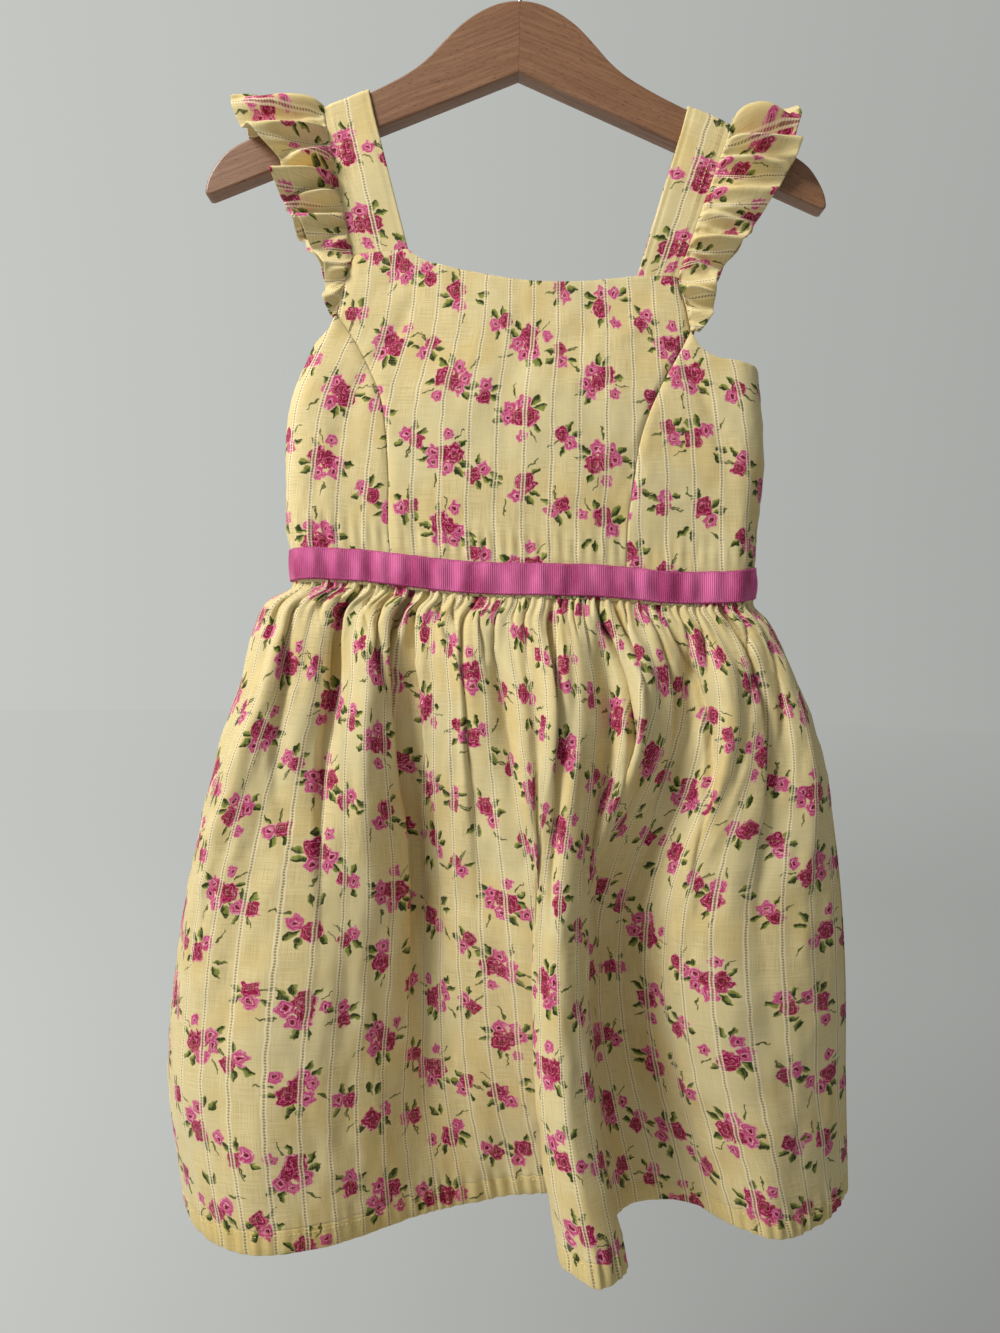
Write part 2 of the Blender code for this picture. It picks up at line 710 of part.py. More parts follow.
def skirt_grid(row_of):
    """Rows of a skirt panel: many columns in the gathers, half as many below."""
    edge = SIDE_GAP / 2 / HALF_RING
    fine = np.linspace(edge, 1 - edge, TOP_COLUMNS + 1)
    rows = [row_of(fine, down) for down in SKIRT_TOP_ROWS]
    return rows + [row_of(fine[::2], down) for down in SKIRT_LOW_ROWS]


# Meshes

def stitch(first, second):
    """Faces between two rows of point numbers; the second may have half as many."""
    faces = []
    if len(first) == len(second):
        for i in range(len(first) - 1):
            faces.append((first[i], second[i], second[i + 1], first[i + 1]))
        return faces
    for i in range(len(second) - 1):
        a, b, c = first[2 * i : 2 * i + 3]
        faces.append((a, second[i], b))
        faces.append((b, second[i], second[i + 1]))
        faces.append((b, second[i + 1], c))
    return faces


def cloth_mesh(name, rows, flip=False, closed=False):
    """An open surface through rows of points."""
    points, numbers = [], []
    for row in rows:
        numbers.append(list(range(len(points), len(points) + len(row))))
        points.extend((p[0] * MM, p[1] * MM, p[2] * MM) for p in row)
        if closed:
            numbers[-1].append(numbers[-1][0])
    faces = [face for a, b in zip(numbers, numbers[1:]) for face in stitch(a, b)]
    if flip:
        faces = [face[::-1] for face in faces]
    mesh = bpy.data.meshes.new(name)
    mesh.from_pydata(points, [], faces)
    mesh.shade_smooth()
    return mesh


def add_wall(obj, thick, thicker=None, share=None):
    """Gives an open surface its wall, centred on it; thicker holds the points at full thickness."""
    wall = obj.modifiers.new("Wall", "SOLIDIFY")
    wall.thickness = thick * MM
    wall.offset = 0
    wall.use_rim = True
    if thicker:
        group = obj.vertex_groups.new(name="thicker")
        group.add(thicker, 1.0, "REPLACE")
        wall.vertex_group = group.name
        wall.thickness_vertex_group = share


def material(name, colour, roughness, metallic=0.0):
    made = bpy.data.materials.new(name)
    made.use_nodes = True
    shader = made.node_tree.nodes["Principled BSDF"]
    shader.inputs["Base Color"].default_value = (*colour, 1.0)
    shader.inputs["Roughness"].default_value = roughness
    shader.inputs["Metallic"].default_value = metallic
    return made


def add_object(name, mesh, collection, surface, parent):
    obj = bpy.data.objects.new(name, mesh)
    obj.data.materials.append(surface)
    collection.objects.link(obj)
    obj.parent = parent
    return obj


# Sub-parts

def make_bodice(collection, cotton, parent):
    for name, grid in (front_grids() | back_grids()).items():
        obj = add_object(name, cloth_mesh(name, grid, flip="_back" in name), collection, cotton, parent)
        add_wall(obj, WALL)


def make_straps(collection, cotton, parent):
    for strap in STRAPS:
        name = f"strap_{strap.side}"
        mesh = cloth_mesh(name, strap_grid(strap), flip=strap.side == "right")
        add_wall(add_object(name, mesh, collection, cotton, parent), STRAP_WALL)


def make_ruffles(collection, cotton, parent):
    for strap, princess, waves in zip(STRAPS, (PRINCESS_LEFT, PRINCESS_RIGHT), (RUFFLE_LEFT, RUFFLE_RIGHT)):
        name = f"ruffle_{strap.side}"
        mesh = cloth_mesh(name, ruffle_grid(strap, princess, waves), flip=strap.side == "right")
        add_wall(add_object(name, mesh, collection, cotton, parent), WALL)


def make_ribbon(collection, ribbon, parent):
    """The ribbon is the bodice ring's own points moved out, over the last of the bodice."""
    grow = WALL / 2 + RIBBON_CLEAR + RIBBON_WALL / 2
    even = np.linspace(0, 1, RIBBON_COLUMNS + 1)
    shares = even - RIBBON_END_PACKING * np.sin(2 * math.pi * even) / (2 * math.pi)
    around = [(s, 1) for s in shares[:-1]] + [(s, -1) for s in shares[:0:-1]]
    rows = []
    for up in (1.0, 0.5, 0.0):
        row = []
        for share, side in around:
            z = float(waist_z(share, side)) + RIBBON_LIFT + up * RIBBON_DEPTH
            row.append((*ring_point(share, z, side, grow), z))
        rows.append(row)
    mesh = cloth_mesh("waist_ribbon", rows, closed=True)
    add_wall(add_object("waist_ribbon", mesh, collection, ribbon, parent), RIBBON_WALL)


def make_skirt(collection, cotton, parent):
    for name, row_of in (("skirt_front", skirt_front_row), ("skirt_back", skirt_back_row)):
        grid = skirt_grid(row_of)
        mesh = cloth_mesh(name, grid, flip=name == "skirt_back")
        obj = add_object(name, mesh, collection, cotton, parent)
        count = sum(len(row) for row in grid)
        add_wall(obj, HEM_WALL, list(range(count - 2 * len(grid[-1]), count)), WALL / HEM_WALL)


def make_hanger(collection, cutters, wood, parent):
    """The board is a flat outline with softened edges, and the hook's bore is cut in its top."""
    half = [(p.x, p.z) for p in HANGER_UPPER]
    outline = half + [(0.0, HANGER_NOTCH_Z)] + [(-x, z) for x, z in half[:0:-1]]
    data = bpy.data.curves.new("hanger outline", "CURVE")
    data.dimensions = "2D"
    data.fill_mode = "BOTH"
    data.extrude = (HANGER_THICK / 2 - HANGER_EDGE_ROUND) * MM
    data.bevel_depth = HANGER_EDGE_ROUND * MM
    data.bevel_resolution = 1
    data.offset = -HANGER_EDGE_ROUND * MM
    spline = data.splines.new("POLY")
    spline.points.add(len(outline) - 1)
    for point, (x, z) in zip(spline.points, outline):
        point.co = (x * MM, z * MM, 0, 1)
    spline.use_cyclic_u = True
    guide = bpy.data.objects.new("hanger outline", data)
    guide.rotation_euler.x = math.pi / 2
    collection.objects.link(guide)
    mesh = mesh_of(guide)
    obj = add_object("hanger", mesh, collection, wood, parent)
    obj.rotation_euler.x = math.pi / 2
    bpy.ops.mesh.primitive_cylinder_add(
        vertices=16,
        radius=BORE / 2 * MM,
        depth=2 * BORE_DEPTH * MM,
        location=(0, 0, HANGER_PEAK_Z * MM),
    )
    bore = bpy.context.object
    bore.name = "bore cutter"
    bore.display_type = "WIRE"
    bore.hide_render = True
    for old in bore.users_collection:
        old.objects.unlink(bore)
    cutters.objects.link(bore)
    cut = obj.modifiers.new("Bore", "BOOLEAN")
    cut.object = bore
    cut.operation = "DIFFERENCE"
    cut.solver = "EXACT"


def mesh_of(guide):
    """A curve object's shape as a welded mesh; the curve is removed."""
    bpy.context.view_layer.update()
    graph = bpy.context.evaluated_depsgraph_get()
    mesh = bpy.data.meshes.new_from_object(guide.evaluated_get(graph))
    bpy.data.objects.remove(guide)
    shape = bmesh.new()
    shape.from_mesh(mesh)
    bmesh.ops.remove_doubles(shape, verts=shape.verts, dist=1e-6)
    shape.to_mesh(mesh)
    shape.free()
    mesh.materials.clear()
    return mesh


def make_hook(collection, steel, parent):
    """Round wire: a stem out of the bore, then a ring that stays open at the left."""
    radius = HOOK_INNER_RADIUS + WIRE / 2
    centre_z = -HOOK_INNER_RADIUS
    foot = HANGER_PEAK_Z - BORE_DEPTH + BORE_END_CLEAR
    stem = [(0.0, foot), (0.0, HANGER_PEAK_Z), (0.0, centre_z - radius - HOOK_NECK)]
    start, stop = math.radians(HOOK_START_ANGLE), math.radians(180 + HOOK_OPEN_ANGLE)
    angles = np.linspace(start, stop, HOOK_POINTS)
    ring = [(radius * math.cos(a), centre_z + radius * math.sin(a)) for a in angles]
    data = bpy.data.curves.new("hook", "CURVE")
    data.dimensions = "3D"
    data.bevel_depth = WIRE / 2 * MM
    data.bevel_resolution = 2
    data.use_fill_caps = True
    spline = data.splines.new("POLY")
    spline.points.add(len(stem + ring) - 1)
    for point, (x, z) in zip(spline.points, stem + ring):
        point.co = (x * MM, 0, z * MM, 1)
        point.radius = 1
    spline.use_smooth = True
    add_object("hook", data, collection, steel, parent)


def main():
    for old in list(bpy.data.objects):
        bpy.data.objects.remove(old, do_unlink=True)
    scene = bpy.context.scene
    collection = bpy.data.collections.new("sundress")
    cutters = bpy.data.collections.new("cutters")
    scene.collection.children.link(collection)
    scene.collection.children.link(cutters)
    parent = bpy.data.objects.new("sundress origin", None)
    collection.objects.link(parent)
    cotton = material("cotton", (0.86, 0.78, 0.47), 0.85)
    ribbon = material("ribbon", (0.80, 0.21, 0.45), 0.55)
    beech = material("beech", (0.55, 0.33, 0.18), 0.5)
    steel = material("steel", (0.62, 0.62, 0.63), 0.25, 1.0)
    make_hanger(collection, cutters, beech, parent)
    make_hook(collection, steel, parent)
    make_bodice(collection, cotton, parent)
    make_straps(collection, cotton, parent)
    make_ruffles(collection, cotton, parent)
    make_ribbon(collection, ribbon, parent)
    make_skirt(collection, cotton, parent)


main()
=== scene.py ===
"""A child's sundress on a wooden hanger, dressed over its solids.

Lengths are in millimetres until a mesh is made. Left and right are as seen from the front,
the front faces -Y, and the origin is the inside top of the hook.
"""

import math
from collections import namedtuple

import bpy
import numpy as np
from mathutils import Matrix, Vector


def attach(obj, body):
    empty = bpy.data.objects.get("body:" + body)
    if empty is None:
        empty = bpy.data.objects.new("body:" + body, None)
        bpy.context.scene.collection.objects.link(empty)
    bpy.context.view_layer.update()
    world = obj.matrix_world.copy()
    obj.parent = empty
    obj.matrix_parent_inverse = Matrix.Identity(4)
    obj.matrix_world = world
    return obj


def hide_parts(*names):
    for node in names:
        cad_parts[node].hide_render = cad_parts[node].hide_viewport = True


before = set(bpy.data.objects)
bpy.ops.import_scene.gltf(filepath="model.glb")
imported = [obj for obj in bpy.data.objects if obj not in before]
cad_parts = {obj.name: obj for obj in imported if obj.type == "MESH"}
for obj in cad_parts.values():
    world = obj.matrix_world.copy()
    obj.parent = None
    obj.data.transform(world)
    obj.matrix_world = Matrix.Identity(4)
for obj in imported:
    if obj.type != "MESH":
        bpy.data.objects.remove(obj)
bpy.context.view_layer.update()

MM = 0.001


def table_of(kind, *values):
    """A table of named tuples, one for each row of plain values."""
    return tuple(kind(*row) for row in values)


# Solids' sizes, repeated
HANGER_THICK = 12.0
HANGER_HALF_SPAN = 180.4
HANGER_PEAK_Z = -60.4
HANGER_NOTCH_Z = -102.0
HANGER_TIP_Z = -178.5
Outline = namedtuple("Outline", "x z")
HANGER_UPPER = table_of(
    Outline, (0.0, HANGER_PEAK_Z), (11.0, -61.9), (20.0, -65.5), (32.0, -73.3), (44.5, -85.7),
    (52.5, -94.5), (61.0, -101.6), (74.0, -109.5), (85.0, -115.2), (149.0, -141.7), (162.0, -147.6),
    (168.6, -152.6), (174.5, -160.5), (178.6, -169.5), (HANGER_HALF_SPAN, HANGER_TIP_Z),
)
WIRE = 3.0
HOOK_INNER_RADIUS = 20.0
HOOK_START_ANGLE = -80.0
HOOK_OPEN_ANGLE = 40.0
HOOK_NECK = 4.0
BORE_DEPTH = 20.0
STRAP_CLEAR = 0.6
STRAP_BOW = 1.0
STRAP_TURN = 3.0
STRAP_ROWS = 8
STRAP_WALL = 1.4
HEM_DEPTH = 12.0
RIBBON_DEPTH = 18.0
RIBBON_OUT = 1.45
RIBBON_LIFT = 0.6
HALF_RING = 300.0
RING_END = 15.0
RING_BOW = 0.12
WAIST_RING_Z = -404.0
Level = namedtuple("Level", "z left right front back")
BODICE_LEVELS = table_of(
    Level, (-200.0, -112.0, 136.0, 8.5, 8.5), (-230.0, -112.5, 137.5, 11.5, 11.0),
    (-252.0, -114.5, 139.5, 14.0, 12.5), (-272.0, -120.5, 142.5, 16.5, 14.0),
    (-292.0, -126.8, 145.0, 18.5, 15.0), (-334.0, -129.6, 147.0, 20.0, 15.5),
    (-366.0, -128.0, 144.0, 20.5, 15.0), (-384.0, -125.0, 143.0, 21.0, 14.5),
    (-410.0, -124.5, 143.0, 21.0, 14.5),
)
Point = namedtuple("Point", "x z")
PRINCESS_LEFT = table_of(
    Point, (-92.5, -211.0), (-97.5, -230.0), (-100.8, -246.4), (-85.4, -269.6), (-73.8, -295.4),
    (-68.7, -332.5), (-66.3, -382.3), (-65.5, -404.0),
)
PRINCESS_RIGHT = table_of(
    Point, (93.5, -220.0), (98.5, -237.0), (101.4, -252.1), (82.6, -289.4), (73.8, -314.4), (69.5, -345.0),
    (67.0, -380.0), (66.5, -408.0),
)
ARMHOLE_POINT = 2
NECKLINE = table_of(
    Point, (-92.5, -211.0), (-61.7, -207.6), (-52.0, -213.5), (-36.0, -217.8), (-15.0, -222.0),
    (8.0, -224.8), (34.0, -224.8), (55.0, -222.6), (71.5, -220.6), (93.5, -220.0),
)
ARMHOLE_LEFT = table_of(
    Point, (-100.8, -246.4), (-106.5, -257.0), (-113.5, -263.5), (-119.9, -277.0), (-126.8, -292.0),
)
ARMHOLE_RIGHT = table_of(
    Point, (101.4, -252.1), (106.5, -260.5), (114.0, -266.0), (127.0, -268.2), (142.5, -272.0),
)
CENTRE_BACK_X = 8.0
Edge = namedtuple("Edge", "share z")
WAIST_FRONT = table_of(
    Edge, (0.0, -399.5), (0.15, -399.2), (0.26, -401.8), (0.40, -405.2), (0.66, -406.0), (0.80, -408.0),
    (0.90, -407.2), (1.0, -402.6),
)
WAIST_BACK = table_of(Edge, (0.0, -399.5), (0.5, -403.0), (1.0, -402.6))
Strap = namedtuple("Strap", "side top_inner top_outer base_inner base_outer")
STRAPS = (
    Strap("left", -86.5, -111.2, Point(-61.7, -207.6), Point(-92.5, -211.0)),
    Strap("right", 98.6, 122.6, Point(71.5, -220.6), Point(93.5, -220.0)),
)
Wave = namedtuple("Wave", "along reach lift")
RUFFLE_LEFT = table_of(
    Wave, (0.0, 3, 0), (0.03, 8, 5), (0.07, 11, -2), (0.11, 13, 7), (0.15, 22, -3), (0.20, 25, 11),
    (0.25, 33, -4), (0.30, 35, 13), (0.34, 30, 0), (0.38, 38, 14), (0.43, 50, 4), (0.48, 52, 7),
    (0.53, 49, -1), (0.58, 48, 12), (0.63, 40, 2), (0.68, 36, 14), (0.73, 34, 0), (0.78, 31, 12),
    (0.84, 24, -3), (0.89, 17, 7), (0.95, 10, -1), (1.0, 3, 0),
)
RUFFLE_RIGHT = table_of(
    Wave, (0.0, 4, 0), (0.03, 12, 5), (0.07, 17, -2), (0.11, 20, 8), (0.15, 23, -3), (0.20, 29, 9),
    (0.25, 33, -2), (0.30, 37, 11), (0.35, 40, 1), (0.40, 42, 12), (0.45, 38, 5), (0.50, 40, 14),
    (0.55, 39, 3), (0.60, 42, 12), (0.66, 36, 1), (0.72, 34, 12), (0.78, 29, -1), (0.84, 24, 9),
    (0.90, 16, -2), (0.95, 10, 5), (1.0, 4, 0),
)
HEM_Z = -765.0
BACK_HEM_LIFT = 9.0
Span = namedtuple("Span", "down left right")
SKIRT_SPANS = table_of(
    Span, (0.0, -124.5, 143.0), (0.008, -124.7, 143.2), (0.03, -137.0, 150.5), (0.08, -145.5, 160.5),
    (0.15, -151.0, 172.5), (0.25, -162.5, 186.0), (0.40, -175.0, 196.5), (0.60, -187.5, 205.0),
    (0.80, -194.3, 209.5), (1.0, -187.0, 215.0),
)
Fold = namedtuple("Fold", "name mid_x mid_out hem_x hem_out hem_lift")
FRONT_FOLDS = table_of(
    Fold,
    ("left seam", -182.5, -5, -187, -22, 6),
    ("left turn", -180, 8, -178, 0, 2),
    ("left corner", -168, 20, -159, 29, 0),
    ("left crest", -140, 27, -130, 44, 0),
    ("left brow", -108, 28, -106, 40, 0),
    ("left slope", -78, 22, -76, 26, 0),
    ("dark lip", -56, 10, -52, 9, 0),
    ("dark valley", -42, -5, -29, -7, 0),
    ("centre rise", -22, 8, 1, -17, 1),
    ("centre valley", 0, 20, 25, -19, 4),
    ("pipe foot", 14, 30, 39, -16, 6),
    ("pipe left", 22, 40, 40, 54, 1),
    ("pipe crest", 33, 45, 54.5, 67, 0),
    ("pipe right", 43, 38, 68, 57, 0),
    ("pipe back", 49, 16, 68.5, 8, 1),
    ("right foot", 58, -2, 82, -14, 2),
    ("right valley", 72, -8, 100, -20, 2),
    ("right lip", 90, 4, 121, -16, 1),
    ("right rise", 106, 16, 141, 6, 0),
    ("right crest", 128, 23, 160, 17, 0),
    ("right slope", 156, 20, 180, 9, 0),
    ("right turn", 187, 9, 203, -9, 4),
    ("right seam", 201, -5, 215, -22, 8),
)
PUFF = 6.0
LEVELS_DOWN = (0.0, 0.06, 0.5, 1.0)
BACK_MID_OUT = -23.0
BACK_HEM_OUT = -31.0
BACK_SEAM_OUT = (0.0, 0.0, -5.0, -22.0)
BACK_END = 0.045
Crease = namedtuple("Crease", "share top bottom width out")
FRONT_CREASES = table_of(
    Crease, (0.10, 0.02, 0.55, 0.020, 5), (0.19, 0.02, 0.45, 0.018, -6), (0.25, 0.02, 0.60, 0.018, 6),
    (0.31, 0.02, 0.75, 0.020, -11), (0.40, 0.02, 0.50, 0.020, 6), (0.46, 0.02, 0.40, 0.016, -7),
    (0.55, 0.02, 0.40, 0.022, 7), (0.64, 0.02, 0.60, 0.020, -11), (0.70, 0.02, 0.55, 0.018, 6),
    (0.78, 0.02, 0.45, 0.018, -7), (0.84, 0.02, 0.60, 0.020, 6), (0.92, 0.02, 0.50, 0.020, -5),
)
BACK_CREASES = table_of(
    Crease, (0.08, 0.02, 1.3, 0.040, -8), (0.17, 0.05, 1.4, 0.030, 5), (0.26, 0.02, 1.5, 0.045, -11),
    (0.37, 0.04, 1.3, 0.030, 4), (0.46, 0.02, 1.4, 0.040, -9), (0.55, 0.03, 1.3, 0.030, 4),
    (0.64, 0.02, 1.5, 0.045, -12), (0.75, 0.05, 1.3, 0.030, 5), (0.84, 0.02, 1.4, 0.040, -9),
    (0.93, 0.04, 1.3, 0.025, 3),
)
CREASE_RISE = 0.12
CREASE_HOLD = 0.45
CREASE_ENDS = 0.06
GATHERS = 30

# Cloth as cut
SKIRT_WIDTH = 600.0
SKIRT_LENGTH = 366.0
RUFFLE_CLOTH = 460.0
STRIPE_PITCH = 15.7
CLOTH_WALL = 0.4
TURNED_EDGE = 0.9


# Curves

def curve_through(keys, values, at):
    keys, values, at = (np.asarray(v, float) for v in (keys, values, at))
    steps = np.diff(keys)
    slopes = np.diff(values) / steps
    inner = (slopes[:-1] * steps[1:] + slopes[1:] * steps[:-1]) / (steps[:-1] + steps[1:])
    tangents = np.concatenate([slopes[:1], inner, slopes[-1:]])
    i = np.clip(np.searchsorted(keys, at, side="right") - 1, 0, len(steps) - 1)
    t = np.clip((at - keys[i]) / steps[i], 0.0, 1.0)
    left = (1 + 2 * t) * (1 - t) ** 2 * values[i] + t * (1 - t) ** 2 * steps[i] * tangents[i]
    right = t * t * (3 - 2 * t) * values[i + 1] - t * t * (1 - t) * steps[i] * tangents[i + 1]
    return left + right


def column(table, name):
    return np.array([getattr(row, name) for row in table], float)


def read(table, key, name, at):
    keys, values = column(table, key), column(table, name)
    if keys[0] > keys[-1]:
        keys, values = keys[::-1], values[::-1]
    return curve_through(keys, values, at)


def lengths_along(points):
    return np.concatenate([[0], np.cumsum(np.linalg.norm(np.diff(points, axis=0), axis=1))])


def length_shares(points):
    lengths = lengths_along(points)
    return lengths / lengths[-1]


def rounded(points, steps=6):
    points = np.asarray(points, float)
    keys = length_shares(points)
    fine = np.interp(np.arange(steps * (len(keys) - 1) + 1) / steps, np.arange(len(keys)), keys)
    return np.stack([curve_through(keys, values, fine) for values in points.T], -1)


def along(points, share):
    points = np.asarray(points, float)
    keys = length_shares(points)
    return np.stack([np.interp(share, keys, values) for values in points.T], -1)


def bell(x):
    return np.exp(-np.square(x))


def ease(x):
    x = np.clip(x, 0.0, 1.0)
    return x * x * (3 - 2 * x)


def noise(x, y, seed):
    """Smooth uneven relief between -1 and 1, one lump for each unit of x and y."""
    table = np.random.RandomState(seed).uniform(-1, 1, (64, 64))
    i, j = np.floor(x).astype(int), np.floor(y).astype(int)
    s, t = ease(x - i), ease(y - j)
    i, j, k, m = i % 64, j % 64, (i + 1) % 64, (j + 1) % 64
    low = table[i, j] * (1 - s) + table[k, j] * s
    high = table[i, m] * (1 - s) + table[k, m] * s
    return low * (1 - t) + high * t


# Bodice ring

def ring_line(z, side):
    left = float(read(BODICE_LEVELS, "z", "left", z))
    right = float(read(BODICE_LEVELS, "z", "right", z))
    depth = float(read(BODICE_LEVELS, "z", "front" if side > 0 else "back", z))
    turn = np.linspace(0, math.pi / 2, 25)
    x_left = left + RING_END * (1 - np.cos(turn))
    x_flat = np.linspace(left + RING_END, right - RING_END, 60)[1:-1]
    x_right = right - RING_END * (1 - np.cos(turn[::-1]))
    bow = 1 - RING_BOW * np.cos(np.linspace(0, 2 * math.pi, 60)[1:-1])
    corner = (1 - RING_BOW) * np.sin(turn)
    rise = np.concatenate([corner, bow, corner[::-1]])
    return np.concatenate([x_left, x_flat, x_right]), -side * depth * rise


def ring_keys(xs, ys):
    lengths = np.concatenate([[0], np.cumsum(np.hypot(np.diff(xs), np.diff(ys)))])
    return lengths / lengths[-1]


RING_HEIGHTS = np.linspace(-196.0, -412.0, 109)
RING_SHARES = np.linspace(0, 1, 401)


def ring_table(side):
    rows = []
    for z in RING_HEIGHTS:
        xs, ys = ring_line(z, side)
        keys = ring_keys(xs, ys)
        rows.append(np.stack([np.interp(RING_SHARES, keys, xs), np.interp(RING_SHARES, keys, ys)], -1))
    return np.array(rows)


RINGS = {side: ring_table(side) for side in (1, -1)}


def on_body(share, z, side):
    """Points of the bodice at shares of the way round one side, at heights z."""
    share, z = np.broadcast_arrays(np.asarray(share, float), np.asarray(z, float))
    step = RING_HEIGHTS[1] - RING_HEIGHTS[0]
    row = np.clip((z - RING_HEIGHTS[0]) / step, 0, len(RING_HEIGHTS) - 1.001)
    col = np.clip(share * (len(RING_SHARES) - 1), 0, len(RING_SHARES) - 1.001)
    i, j = row.astype(int), col.astype(int)
    s, t = (row - i)[..., None], (col - j)[..., None]
    table = RINGS[side]
    low = table[i, j] * (1 - t) + table[i, j + 1] * t
    high = table[i + 1, j] * (1 - t) + table[i + 1, j + 1] * t
    flat = low * (1 - s) + high * s
    return np.concatenate([flat, z[..., None]], -1)


def ring_share(x, z, side):
    xs, ys = ring_line(z, side)
    return float(np.interp(x, xs, ring_keys(xs, ys)))


def waist_z(share, side):
    return read(WAIST_FRONT if side > 0 else WAIST_BACK, "share", "z", share)


# Sheets of points

def normals_of(grid, side):
    """Unit normals that face out of the dress."""
    down, across = np.gradient(grid, axis=0), np.gradient(grid, axis=1)
    normal = side * np.cross(down, across)
    return normal / np.maximum(np.linalg.norm(normal, axis=-1, keepdims=True), 1e-9)


def turned(grid, uv, side, edge, depth=TURNED_EDGE, back=5.0):
    """The sheet with one edge turned in: rounded over, then a short way back behind itself."""
    if edge in ("left", "right"):
        grid, uv = grid.transpose(1, 0, 2), uv.transpose(1, 0, 2)
        side = -side
    if edge in ("bottom", "right"):
        grid, uv = grid[::-1], uv[::-1]
        side = -side
    normal = normals_of(grid, side)
    outward = grid[0] - grid[1]
    outward = outward / np.maximum(np.linalg.norm(outward, axis=-1, keepdims=True), 1e-9)
    rows, maps = [], []
    for angle in (35, 90, 145):
        a = math.radians(angle)
        rows.append(grid[0] + depth / 2 * (math.sin(a) * outward - (1 - math.cos(a)) * normal[0]))
        maps.append(uv[0] + (uv[0] - uv[1]) * 0.2 * angle / 180)
    lengths = np.cumsum(np.linalg.norm(np.diff(grid[:, grid.shape[1] // 2], axis=0), axis=-1))
    last = int(np.searchsorted(lengths, back)) + 1
    for k in range(0, last + 1):
        rows.append(grid[k] - depth * normal[k])
        maps.append(2 * uv[0] - uv[k])
    grid = np.concatenate([np.array(rows)[::-1], grid])
    uv = np.concatenate([np.array(maps)[::-1], uv])
    if edge in ("bottom", "right"):
        grid, uv = grid[::-1], uv[::-1]
    if edge in ("left", "right"):
        grid, uv = grid.transpose(1, 0, 2), uv.transpose(1, 0, 2)
    return grid, uv


def new_object(name, data):
    obj = bpy.data.objects.new(name, data)
    bpy.context.scene.collection.objects.link(obj)
    return obj


def add_piece(name, mesh, surface, node=None):
    obj = new_object(name, mesh)
    obj.data.materials.append(surface)
    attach(obj, "root")
    if node:
        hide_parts(node)
    return obj


def sheet_mesh(name, grid, uv, side):
    """A smooth mesh through a grid of points, with its cloth coordinates in millimetres."""
    rows, cols = grid.shape[:2]
    at = np.arange(rows * cols).reshape(rows, cols)
    quads = np.stack([at[:-1, :-1], at[1:, :-1], at[1:, 1:], at[:-1, 1:]], -1).reshape(-1, 4)
    if side < 0:
        quads = quads[:, ::-1]
    mesh = bpy.data.meshes.new(name)
    mesh.vertices.add(rows * cols)
    mesh.vertices.foreach_set("co", (grid.reshape(-1, 3) * MM).astype(np.float32).ravel())
    mesh.loops.add(quads.size)
    mesh.loops.foreach_set("vertex_index", quads.ravel().astype(np.int32))
    mesh.polygons.add(len(quads))
    mesh.polygons.foreach_set("loop_start", np.arange(0, quads.size, 4, dtype=np.int32))
    mesh.update(calc_edges=True)
    layer = mesh.uv_layers.new(name="cloth")
    layer.uv.foreach_set("vector", uv.reshape(-1, 2)[quads.ravel()].astype(np.float32).ravel())
    mesh.shade_smooth()
    return mesh


def add_sheet(grid, uv, side, surface, node, wall=CLOTH_WALL):
    """A thin shell of cloth that replaces a node of the frame."""
    name = f"{node}_cloth"
    obj = add_piece(name, sheet_mesh(name, grid, uv, side), surface, node)
    shell = obj.modifiers.new("Shell", "SOLIDIFY")
    shell.thickness = wall * MM
    shell.offset = 0


# Relief of the cloth, by its own coordinates u across the stripes and v along them

Dent = namedtuple("Dent", "u v length width angle depth")


def dents(u, v, table):
    """Listed troughs and ridges, soft at both ends; the angle leans them off upright."""
    total = np.zeros_like(u)
    for d in table:
        a = math.radians(d.angle)
        run = (v - d.v) * math.cos(a) + (u - d.u) * math.sin(a)
        off = (u - d.u) * math.cos(a) - (v - d.v) * math.sin(a)
        total += d.depth * bell(off / d.width) * bell(2 * run / d.length)
    return total


def crumple(u, v, seed, strong=1.0):
    """Uneven softness of lawn: long lumps down the cloth, small puckers and worn-in creases."""
    soft = 0.55 * noise(u / 26, v / 60, seed) + 0.3 * noise(u / 11, v / 24, seed + 1)
    fine = 0.16 * noise(u / 4.5, v / 9, seed + 2)
    pucker = 0.13 * noise(u / 6, v / 5, seed + 3)
    lean = 9 * noise(u / 40, v / 40, seed + 4)
    ridge = 0.7 - np.abs(noise((u + lean) / 17, (v + 0.5 * u) / 31, seed + 5))
    slant = 0.7 - np.abs(noise((u - 0.6 * v) / 21, (v + lean) / 15, seed + 6))
    return strong * (soft + fine + pucker + 0.55 * ridge + 0.4 * slant)


# Node trees

def tone(red, green, blue):
    """A colour given as it looks on a screen, 0 to 255."""
    linear = [c / 255 for c in (red, green, blue)]
    linear = [c / 12.92 if c <= 0.04045 else ((c + 0.055) / 1.055) ** 2.4 for c in linear]
    return (*linear, 1.0)


